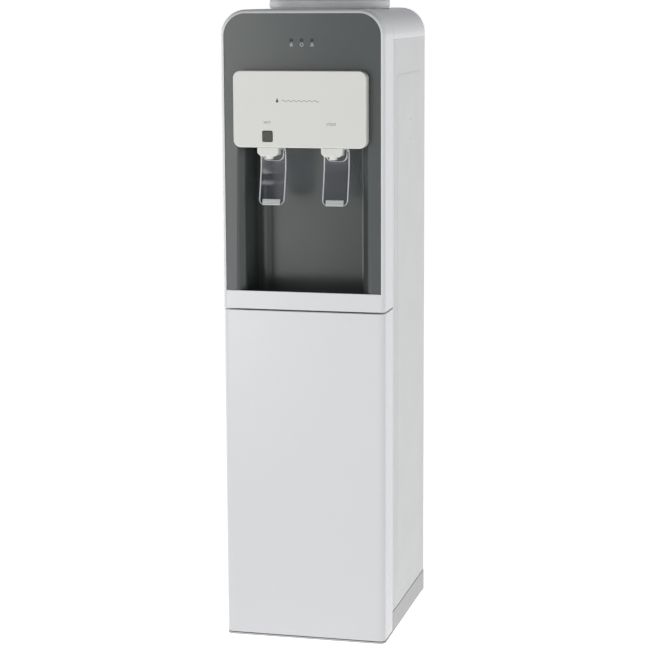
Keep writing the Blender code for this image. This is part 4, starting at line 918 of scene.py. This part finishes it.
def makeBottleSeat():
    low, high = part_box("bottle_collar")
    centre = (0, (low.y + high.y) / 2, 0)
    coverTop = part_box("top_cover")[1].z
    radius, top, neck = seat["radius"], high.z, seat["neck"]
    foot, throat = coverTop + 0.0003, coverTop - 0.028
    profile = [(radius - 0.0012, foot), (radius - 0.0012, foot + 0.0016), (radius, foot + 0.0024)]
    profile += arcPairs(radius - 0.0026, top - 0.0026, 0.0026, 0, 90, 6)
    profile += arcPairs(radius - 0.0110, top - 0.0016, 0.0016, 90, 150, 3)
    profile += [(radius - 0.0145, top - 0.0045), (radius - 0.0175, top - 0.0062)]
    profile += [(neck + 0.010, throat + 0.0045), (neck + 0.0045, throat + 0.0010),
                (neck + 0.0012, throat - 0.0020), (neck, throat - 0.0050)]
    profile += [(neck, low.z + 0.003), (neck - 0.003, low.z + 0.003), (neck - 0.003, low.z),
                (neck + 0.002, low.z)]
    profile += [(neck + 0.002, throat - 0.005), (neck + 0.0045, throat - 0.0025), (radius - 0.0115, foot)]
    collar = turn("bottleCollar", profile, centre, "z", 128, closed=True)
    finish(collar, "collarGrey", "bottle_collar", smooth=35, body="bottle_seat")
    low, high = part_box("bottle_spike")
    base = low.z
    profile = [(0.008, base), (0.008, high.z - 0.0075), (0.004, high.z - 0.0022), (0.0042, high.z - 0.0008)]
    profile += [(0.0050, high.z), (0.0058, high.z - 0.0009), (0.0108, high.z - 0.0105),
                (0.011, high.z - 0.012)]
    profile += [(0.011, base + 0.0055), (0.0118, base + 0.0040), (neck - 0.0012, base + 0.0030),
                (neck - 0.0004, base + 0.0024), (neck - 0.0004, base)]
    probe = turn("bottleProbe", profile, centre, "z", 64, closed=True)
    for quarter in range(4):
        angle = math.radians(45 + 90 * quarter)
        reach = (neck + 0.011) / 2
        carve(probe, turn("hole", [(0.006, base - 0.002), (0.006, base + 0.008)],
                          (reach * math.cos(angle), centre[1] + reach * math.sin(angle), 0), "z", 32))
    finish(probe, "spikeWhite", "bottle_spike", smooth=40, body="bottle_seat", slot="silicone")


makeBottleSeat()


# top cover, side panels, base and feet

cover = {"cornerRadius": 0.042, "wall": 0.0025, "rearEdge": 0.004, "ledge": 0.0085}


def makeTopCover():
    low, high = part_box("top_cover")
    middle = middleOf("bottle_collar").y
    piece = archBlock("topCover", high.x, low.z, high.z, cover["cornerRadius"], low.y, high.y)
    roundOff(piece, cover["rearEdge"], 5, lambda spot,
             way: spot.y > high.y - hair and spot.z > low.z + hair)
    wall = cover["wall"]
    pocket = archBlock("pocket", high.x - wall, low.z - wall, high.z - wall, cover["cornerRadius"] - wall,
                       low.y - wall, high.y - wall)
    hole = turn("hole", [(seat["radius"] - cover["ledge"], high.z - 2 * wall),
                         (seat["radius"] - cover["ledge"], high.z + wall)],
                (0, middle, 0), "z", 96)
    carve(piece, pocket, hole)
    soften(piece, 0.0005, 2, 38)
    return finish(piece, "shellWhite", "top_cover")


makeTopCover()

sides = {"raise": 0.0008, "sheet": 0.0012, "fold": 0.0112, "groove": 0.015, "fieldFront": 0.0375,
         "fieldRear": 0.032, "fieldBottom": 0.025, "fieldTop": 0.060, "fieldCorner": 0.010,
         "fieldSlope": 0.004, "screws": (0.856, 0.824), "screwY": 0.035}


def makeSide(name, node, side):
    low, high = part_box(node)
    flat = (high.x if side > 0 else -low.x) - sides["raise"]
    front, back, bottom, top = low.y, high.y, low.z, high.z
    inner = flat - sides["sheet"]
    near, far = sorted((side * inner, side * flat))
    piece = block(name, (near, front, bottom), (far, back, top))
    groove = front + sides["groove"]
    steps = [groove + step for step in (-0.0022, -0.0009, 0, 0.0009, 0.0022)]
    cutAcross(piece, "y", [front + sides["sheet"], *steps, back - sides["sheet"]])
    shift(piece, lambda place: abs(place.y - groove) < 0.0004, (-side * 0.0009, 0, 0))
    shift(piece, lambda place: 0.0004 < abs(place.y - groove) < 0.0012, (-side * 0.0005, 0, 0))
    for edge in (front + sides["sheet"] / 2, back - sides["sheet"] / 2):
        pull(piece, lambda centre, normal: normal.x * side < -0.9 and abs(centre.y - edge) < 0.0001,
             (-side * (sides["fold"] - sides["sheet"]), 0, 0))
    slope = sides["fieldSlope"]
    first, last = front + sides["fieldFront"], back - sides["fieldRear"]
    foot, head = bottom + sides["fieldBottom"], top - sides["fieldTop"]
    inside, outside = sorted((side * (flat - 0.0004), side * (flat + sides["raise"])))
    field = block("field", (inside, first - slope, foot - slope), (outside, last + slope, head + slope))
    roundOff(field, sides["fieldCorner"] + slope, 8, running("x"))
    choose(field, "FACE", lambda centre, normal: normal.x * side > 0.9)
    bpy.ops.mesh.inset(thickness=slope, depth=0)
    leave()
    # the outer ring of the raised face drops to the sheet, which leaves a slope round it
    corner = sides["fieldCorner"]
    for place in [point.co for point in field.data.vertices if point.co.x * side > flat + 0.0001]:
        beyond = max(first - place.y, place.y - last, foot - place.z, place.z - head, 0)
        away = max(first + corner - place.y, place.y - last + corner, 0)
        off = max(foot + corner - place.z, place.z - head + corner, 0)
        if away and off:
            beyond = math.hypot(away, off) - corner
        if beyond > slope / 2:
            place.x = side * (flat + 0.00002)
    carve(piece, field, how="UNION")
    soften(piece, 0.0003, 2, 50)
    return finish(piece, "sheetWhite", node, smooth=60)


makeSide("sideLeft", "side_panel_left", -1)
makeSide("sideRight", "side_panel_right", 1)


def panHead(radius, height):
    # screw with a low domed head and a cross recess
    shape = ((1, 0), (1, 0.35), (0.92, 0.7), (0.72, 0.93), (0.4, 1))
    piece = turn("head", [(radius * wide, height * tall) for wide, tall in shape], sides=24)
    thin, reach = radius * 0.16, radius * 0.55
    cross = block("cross", (-thin, -reach, height * 0.45), (thin, reach, height * 2))
    other = block("other", (-reach, -thin, height * 0.45), (reach, thin, height * 2))
    return carve(piece, carve(cross, other, how="UNION"))


def setScrew(head, name, place, facing, look, slot):
    piece = twin(head, name, (0, 0, 0))
    quarter = math.pi / 2
    piece.rotation_euler = {"+y": (-quarter, 0, 0), "+x": (0, quarter, 0), "-x": (0, -quarter, 0)}[facing]
    piece.location = place
    return finish(piece, look, slot=slot, even=False)


def makeBase():
    low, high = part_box("base_tray")
    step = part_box("side_panel_left")[0].y
    piece = block("baseTray", low, high)
    roundOff(piece, 0.010, 8, running("z", lambda middle: middle.y < low.y + hair))
    floor = low.z + 0.003
    inner = high.x - 0.0028
    pocket = block("pocket", (-inner, low.y - 0.0025, floor), (inner, high.y - 0.0025, high.z + 0.01))
    toe = block("toe", (-high.x - 0.01, low.y - 0.01, floor), (high.x + 0.01, step, high.z + 0.01))
    tools = [pocket, toe]
    pin = middleOf("hinge_pin_lower")
    tools.append(rod("pinHole", 0.00235, low.z - 0.01, floor + 0.01, (pin.x, pin.y, 0), sides=24))
    feet = ["foot_%s_%s" % (end, side) for end in ("front", "rear") for side in ("left", "right")]
    for node in feet:
        middle = middleOf(node)
        tools.append(rod("footHole", 0.0043, low.z - 0.01, floor + 0.01, (middle.x, middle.y, 0), sides=24))
    carve(piece, *tools)
    soften(piece, 0.0006, 3, 40)
    finish(piece, "baseGrey", "base_tray")
    for node in feet:
        ends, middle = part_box(node), middleOf(node)
        radius = (ends[1].x - ends[0].x) / 2
        profile = [(radius - 0.0022, 0.0), (radius - 0.0008, 0.0005), (radius, 0.0018),
                   (radius, low.z - 0.0010), (radius - 0.0006, low.z - 0.0003),
                   (0.0037, low.z - 0.0003), (0.0037, ends[1].z - 0.0004), (0.0032, ends[1].z)]
        piece = turn("foot" + node[4:].title().replace("_", ""), profile, (middle.x, middle.y, 0), sides=48)
        finish(piece, "footRubber", node, smooth=40)


makeBase()
print("cover, sides and base made")


# door, its liner and the cabinet

door = {"edgeRadius": 0.010, "wall": 0.0025, "topEase": 0.0012}


def makeDoor():
    low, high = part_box("door_panel")
    wall = door["wall"]
    piece = block("doorPanel", low, high)
    roundOff(piece, door["edgeRadius"], 10, running("z", lambda middle: middle.y < low.y + hair))
    roundOff(piece, door["topEase"], 4, lambda middle,
             way: middle.z > high.z - hair and middle.y < high.y - 0.001)
    inner = block("inner", (low.x + wall, low.y + wall, low.z + wall),
                  (high.x - wall, high.y + wall, high.z - wall))
    roundOff(inner, door["edgeRadius"] - wall, 8,
             running("z", lambda middle: middle.y < low.y + wall + hair))
    pin = middleOf("hinge_pin_upper")
    carve(piece, inner, rod("pinHole", 0.00235, low.z - 0.01, high.z + 0.01, (pin.x, pin.y, 0), sides=24))
    soften(piece, 0.0004, 2, 40)
    finish(piece, "shellWhite", "door_panel", body="door")
    # the liner is a tray with two pressed panels
    low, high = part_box("door_liner")
    liner = block("doorLiner", low, high)
    cutAcross(liner, "z", [low.z + (high.z - low.z) / 2])
    choose(liner, "FACE", lambda centre, normal: normal.y > 0.9)
    bpy.ops.mesh.inset(thickness=0.020, depth=0, use_individual=True)
    bpy.ops.mesh.inset(thickness=0.003, depth=-0.0015, use_individual=True)
    leave()
    soften(liner, 0.0006, 3, 25)
    finish(liner, "linerWhite", "door_liner", body="door")


makeDoor()
refine("strike_plate", "strikePlate", "stainless", 0.0003, body="door")
refine("catch_magnet", "catchMagnet", "blackPlastic", 0.0006, 3)


cabinet = {"half": 0.120, "flange": 0.002, "corner": 0.012}


def makeCabinet():
    low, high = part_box("cabinet_liner")
    piece = block("cabinetLiner", (low.x, low.y, low.z), (high.x, low.y + cabinet["flange"], high.z))
    wall = cabinet["half"]
    room = block("room", (-wall, low.y, low.z + 0.0025), (wall, high.y, high.z - 0.006))
    roundOff(room, cabinet["corner"], 6, lambda middle, way: middle.y > high.y - hair or (abs(way.y) > 0.9))
    carve(piece, room, how="UNION")
    hollow = block("hollow", (0.002 - wall, low.y - 0.003, low.z + 0.0045),
                   (wall - 0.002, high.y - 0.002, high.z - 0.008))
    roundOff(hollow, cabinet["corner"] - 0.002, 6, lambda middle,
             way: middle.y > high.y - 0.00201 or (abs(way.y) > 0.9))
    carve(piece, hollow)
    soften(piece, 0.0006, 3, 38)
    return finish(piece, "linerWhite", "cabinet_liner")


makeCabinet()
for node, name in (("hinge_pin_upper", "hingePinUpper"), ("hinge_pin_lower", "hingePinLower")):
    refine(node, name, "stainless", 0.0002)
print("door and cabinet made")


# drip tray and its grille

grille = {"slotWidth": 0.006, "slotPitch": 0.0135, "count": 11, "corner": 0.022, "trayWall": 0.0018,
          "frontEnd": 0.010, "rearEnd": 0.012}


def makeTray():
    low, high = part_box("drip_tray")
    wall, corner = grille["trayWall"], grille["corner"]
    piece = recessBlock("dripTray", high.x, low.y, high.y, low.z, high.z, corner)
    inner = recessBlock("inner", high.x - wall, low.y + wall, high.y - wall, low.z + wall, high.z + wall,
                        corner - wall)
    roundOff(inner, 0.002, 4, lambda middle, way: middle.z < low.z + wall + hair)
    carve(piece, inner)
    soften(piece, 0.0004, 2, 40)
    finish(piece, "trayGrey", "drip_tray", body="tray", slot="fascia_grey")
    low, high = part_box("drip_grille")
    piece = block("dripGrille", low, high)
    roundOff(piece, corner, 10, running("z"))
    cutters = []
    for slot in range(grille["count"]):
        x = (slot - (grille["count"] - 1) / 2) * grille["slotPitch"]
        half = grille["slotWidth"] / 2
        cutter = block("slot", (x - half, low.y + grille["frontEnd"], low.z - 0.003),
                       (x + half, high.y - grille["rearEnd"], high.z + 0.003))
        roundOff(cutter, half - 0.0002, 6, running("z"))
        cutters.append(cutter)
    carve(piece, merge("slots", *cutters))
    soften(piece, 0.0004, 2, 40)
    finish(piece, "trayGrey", "drip_grille", body="grille", slot="fascia_grey")


makeTray()


# rear: panel, screws, condenser, switches, drain and gland

rear = {"screwX": 0.1255, "screwLevels": (0.275, 0.500, 0.740, 0.965), "screwRadius": 0.0034,
        "screwHeight": 0.0016, "switchHole": (0.0068, 0.0103), "glandHole": 0.0083, "drainHole": 0.0093,
        "vents": 5, "ventPitch": 0.012}


def makeRear():
    low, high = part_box("rear_panel")
    line = middleOf("switch_plate").z
    piece = block("rearPanel", low, high)
    tools = []
    through = (low.y - 0.005, high.y + 0.005)
    wide, tall = rear["switchHole"]
    for node in ("heat_switch", "cool_switch"):
        x = middleOf(node).x
        tools.append(block("switchHole", (x - wide, through[0], line - tall),
                           (x + wide, through[1], line + tall)))
    for node, radius in (("cord_gland", rear["glandHole"]), ("drain_outlet", rear["drainHole"])):
        tools.append(rod("hole", radius, through[0], through[1], (middleOf(node).x, 0, line), "y", 40))
    for row in range(rear["vents"]):
        x = -0.050 + rear["ventPitch"] * row
        vent = block("vent", (x, through[0], line - 0.020), (x + 0.004, through[1], line + 0.020))
        roundOff(vent, 0.0019, 5, running("y"))
        tools.append(vent)
    carve(piece, *tools)
    soften(piece, 0.0002, 2, 40)
    finish(piece, "sheetGrey", "rear_panel")
    head = panHead(rear["screwRadius"], rear["screwHeight"])
    count = 0
    for level in rear["screwLevels"]:
        for side in (-1, 1):
            count += 1
            setScrew(head, "rearScrew%d" % count, (side * rear["screwX"], high.y, level), "+y", "zincScrew",
                     "stainless")
    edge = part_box("side_panel_right")[1].x
    for level in sides["screws"]:
        count += 1
        small = twin(head, "small", (0, 0, 0))
        hold(small)
        bpy.ops.transform.resize(value=(0.55, 0.55, 0.35), center_override=(0, 0, 0))
        settle(small)
        for name, x, facing in (("sideScrew%d", edge, "+x"), ("sideScrew%dLeft", -edge, "-x")):
            setScrew(small, name % count, (x, sides["screwY"], level), facing, "sheetWhite", "sheet_white")
        bpy.data.objects.remove(small)
    for node in ("condenser_bracket_lower", "condenser_bracket_upper"):
        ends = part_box(node)
        refine(node, "bracket" + node.split("_")[-1].title(), "blackSteel", 0.0004)
        for side in (-1, 1):
            count += 1
            place = (side * (ends[1].x - 0.006), ends[1].y - 0.0001, (ends[0].z + ends[1].z) / 2)
            setScrew(head, "bracketScrew%d" % count, place, "+y", "zincScrew", "stainless")
    bpy.data.objects.remove(head)


condenser = {"tubeRadius": 0.0022, "pitch": 0.060, "bend": 0.012, "wireRadius": 0.0007, "wires": 34}


def makeCondenser():
    low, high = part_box("condenser_tube")
    radius = condenser["tubeRadius"]
    half, y = high.x - radius, (low.y + high.y) / 2
    corners = [(-half, y, low.z)]
    level, side = low.z + condenser["bend"], -1
    while level < high.z - 0.010:
        corners += [(side * half, y, level), (-side * half, y, level)]
        level += condenser["pitch"]
        side = -side
    corners.append((corners[-1][0], y, high.z))
    tube = pipe("condenserTube", bend(corners, condenser["bend"], 8), radius)
    finish(tube, "blackSteel", "condenser_tube", even=False)
    # thin rods welded to the tube, front and back of it
    low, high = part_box("condenser_grid")
    wire, count = condenser["wireRadius"], condenser["wires"]
    rods = []
    single = rod("rod", wire, low.z, high.z, sides=8)
    for number in range(count):
        x = low.x + 0.001 + (high.x - low.x - 0.002) * number / (count - 1)
        rods.append(twin(single, "rod%d" % number, (x, low.y + wire, 0)))
        rods.append(twin(single, "back%d" % number, (x + 0.0006, y - radius - wire, 0)))
    bpy.data.objects.remove(single)
    finish(merge("condenserRods", *rods), "blackSteel", "condenser_grid", even=False)


makeRear()
makeCondenser()
print("rear and condenser made")


compressor = {"radius": 0.055, "base": 0.0097, "seam": 0.003, "mountX": 0.078, "mountY": 0.036}


def makeMachine():
    low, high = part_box("compressor")
    middle = (low + high) / 2
    radius, base, top = compressor["radius"], low.z + compressor["base"], high.z
    wide = radius + compressor["seam"]
    profile = [(radius * 0.70, base), (radius * 0.90, base + 0.006), (radius * 0.97, base + 0.018),
               (radius, base + 0.034),
               (radius, base + 0.084), (wide, base + 0.0865), (wide, base + 0.0905), (radius, base + 0.093)]
    profile += [(radius * share, top - below) for share, below in (
        (1, 0.060), (0.99, 0.044), (0.95, 0.030), (0.86, 0.017), (0.70, 0.009), (0.45, 0.003), (0.15, 0))]
    pot = turn("compressor", profile, (0, middle.y, 0), "z", 72)
    plate = block("plate", (-0.088, middle.y - 0.045, base - 0.001),
                  (0.088, middle.y + 0.045, base + 0.003))
    roundOff(plate, 0.012, 6, running("z"))
    soften(plate, 0.0008, 2, 40)
    relay = block("relayBox", (0.030, middle.y + 0.030, base + 0.045),
                  (0.052, middle.y + 0.056, base + 0.090))
    soften(relay, 0.003, 3, 40)
    finish(merge("compressorPot", pot, plate), "blackSteel", "compressor", smooth=40)
    finish(relay, "blackPlastic")
    ring = [(0.008, low.z), (0.0085, low.z + 0.002), (0.0068, low.z + 0.004), (0.0085, low.z + 0.0065),
            (0.008, base - 0.001)]
    cap = [(0.006, base + 0.003), (0.006, base + 0.0045), (0.0035, base + 0.0048), (0.0035, base + 0.0085),
           (0.002, base + 0.009)]
    mounts = []
    for side in (-1, 1):
        for end in (-1, 1):
            spot = (side * compressor["mountX"], middle.y + end * compressor["mountY"], 0)
            mounts.append(turn("mount", ring, spot, sides=32))
            mounts.append(turn("cap", cap, spot, sides=6))
    finish(merge("compressorMounts", *mounts), "footRubber", even=False)


makeMachine()
refine("switch_plate", "switchPlate", "blackPlastic", 0.0003)
refine("heat_switch", "heatRocker", "rockerRed", 0.0004, 3, body="heat_rocker")
refine("cool_switch", "coolRocker", "rockerBlue", 0.0004, 3, body="cool_rocker")
refine("cord_gland", "cordGland", "blackPlastic", 0.0003)
refine("drain_outlet", "drainOutlet", "linerWhite", 0.0003)
refine("drain_cap", "drainCap", "blackPlastic", 0.0004, body="drain_plug")
print("machine space made")


# CAD nodes that keep their own shape get their finish

keep = {"suction_pipe": "copperPipe", "discharge_pipe": "copperPipe", "evaporator_coil": "copperPipe",
        "cold_tank": "stainless", "hot_tank": "stainless", "cold_tank_foam": "beadFoam",
        "thermostat": "blackPlastic", "hose_hot": "silicone", "hose_cold": "silicone",
        "feed_hose": "silicone", "drain_hose": "silicone", "valve_spring_hot": "stainless",
        "valve_spring_cold": "stainless"}
for node, look in keep.items():
    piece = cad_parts[node]
    for entry in piece.material_slots:
        entry.link = "OBJECT"
        entry.material = finishes[look]


# floor, lights and camera

studio = {"floorTone": (0.85, 0.85, 0.85), "floorGlow": 0.87, "horizon": (0.74, 0.75, 0.77),
          "above": (0.07, 0.075, 0.08),
          "lamps": {"soft": ((-2.2, -3.0, 2.0), (1.6, 1.6), 12), "key": ((-1.0, -2.5, 0.8), (0.5, 1.6), 8),
                    "right": ((3.2, 1.9, 2.9), (1.2, 1.2), 11), "left": ((-2.4, 0.75, 0.75), (0.5, 1.5), 7),
                    "streak": ((2.2, -2.4, 0.9), (0.25, 1.3), 4)},
          "eye": (0.8190, -3.3200, 1.0650), "tilt": 80.745, "roll": 0.275, "heading": 13.895, "lens": 112.80}


def makeStudio():
    rest()
    bpy.ops.mesh.primitive_plane_add(size=1, location=(0, 0, 0))
    floor = bpy.context.object
    floor.name = "studioFloor"
    floor.scale = (900, 900, 1)
    settle(floor)
    look, tree, shader, place = startLook("paleFloor")
    tone = studio["floorTone"]
    cloud = blend(tree, patchy(tree, place, 1.5, 3, 0, 1), tint(tone, 0.99), tone)
    tree.links.new(cloud, shader.inputs["Base Color"])
    shader.inputs["Roughness"].default_value = 0.8
    shader.inputs["Emission Color"].default_value = (1, 1, 1, 1)
    shader.inputs["Emission Strength"].default_value = studio["floorGlow"]
    floor.data.materials.append(look)
    world = bpy.data.worlds.new("studio")
    bpy.context.scene.world = world
    world.use_nodes = True
    tree = world.node_tree
    back = tree.nodes["Background"]
    split = tree.nodes.new("ShaderNodeSeparateXYZ")
    tree.links.new(tree.nodes.new("ShaderNodeTexCoord").outputs["Generated"], split.inputs["Vector"])
    rise = spread(tree, split.outputs["Z"], 0, 1, 0.05, 0.55)
    tree.links.new(blend(tree, rise, studio["horizon"], studio["above"]), back.inputs["Color"])
    for name, (place, size, power) in studio["lamps"].items():
        bpy.ops.object.light_add(type="AREA", location=place)
        lamp = bpy.context.object
        lamp.name = name + "Light"
        lamp.data.shape = "RECTANGLE"
        lamp.data.size, lamp.data.size_y = size
        lamp.data.energy = power
        lamp.rotation_euler = (Vector((0, 0, 0.6)) - Vector(place)).to_track_quat("-Z", "Y").to_euler()
    bpy.ops.object.camera_add(location=studio["eye"])
    camera = bpy.context.object
    camera.rotation_euler = [math.radians(studio[way]) for way in ("tilt", "roll", "heading")]
    camera.data.lens = studio["lens"]
    camera.data.sensor_width = 36
    camera.data.clip_end = 900
    bpy.context.scene.camera = camera
    bpy.context.scene.view_settings.view_transform = "Standard"


makeStudio()
print("studio set")
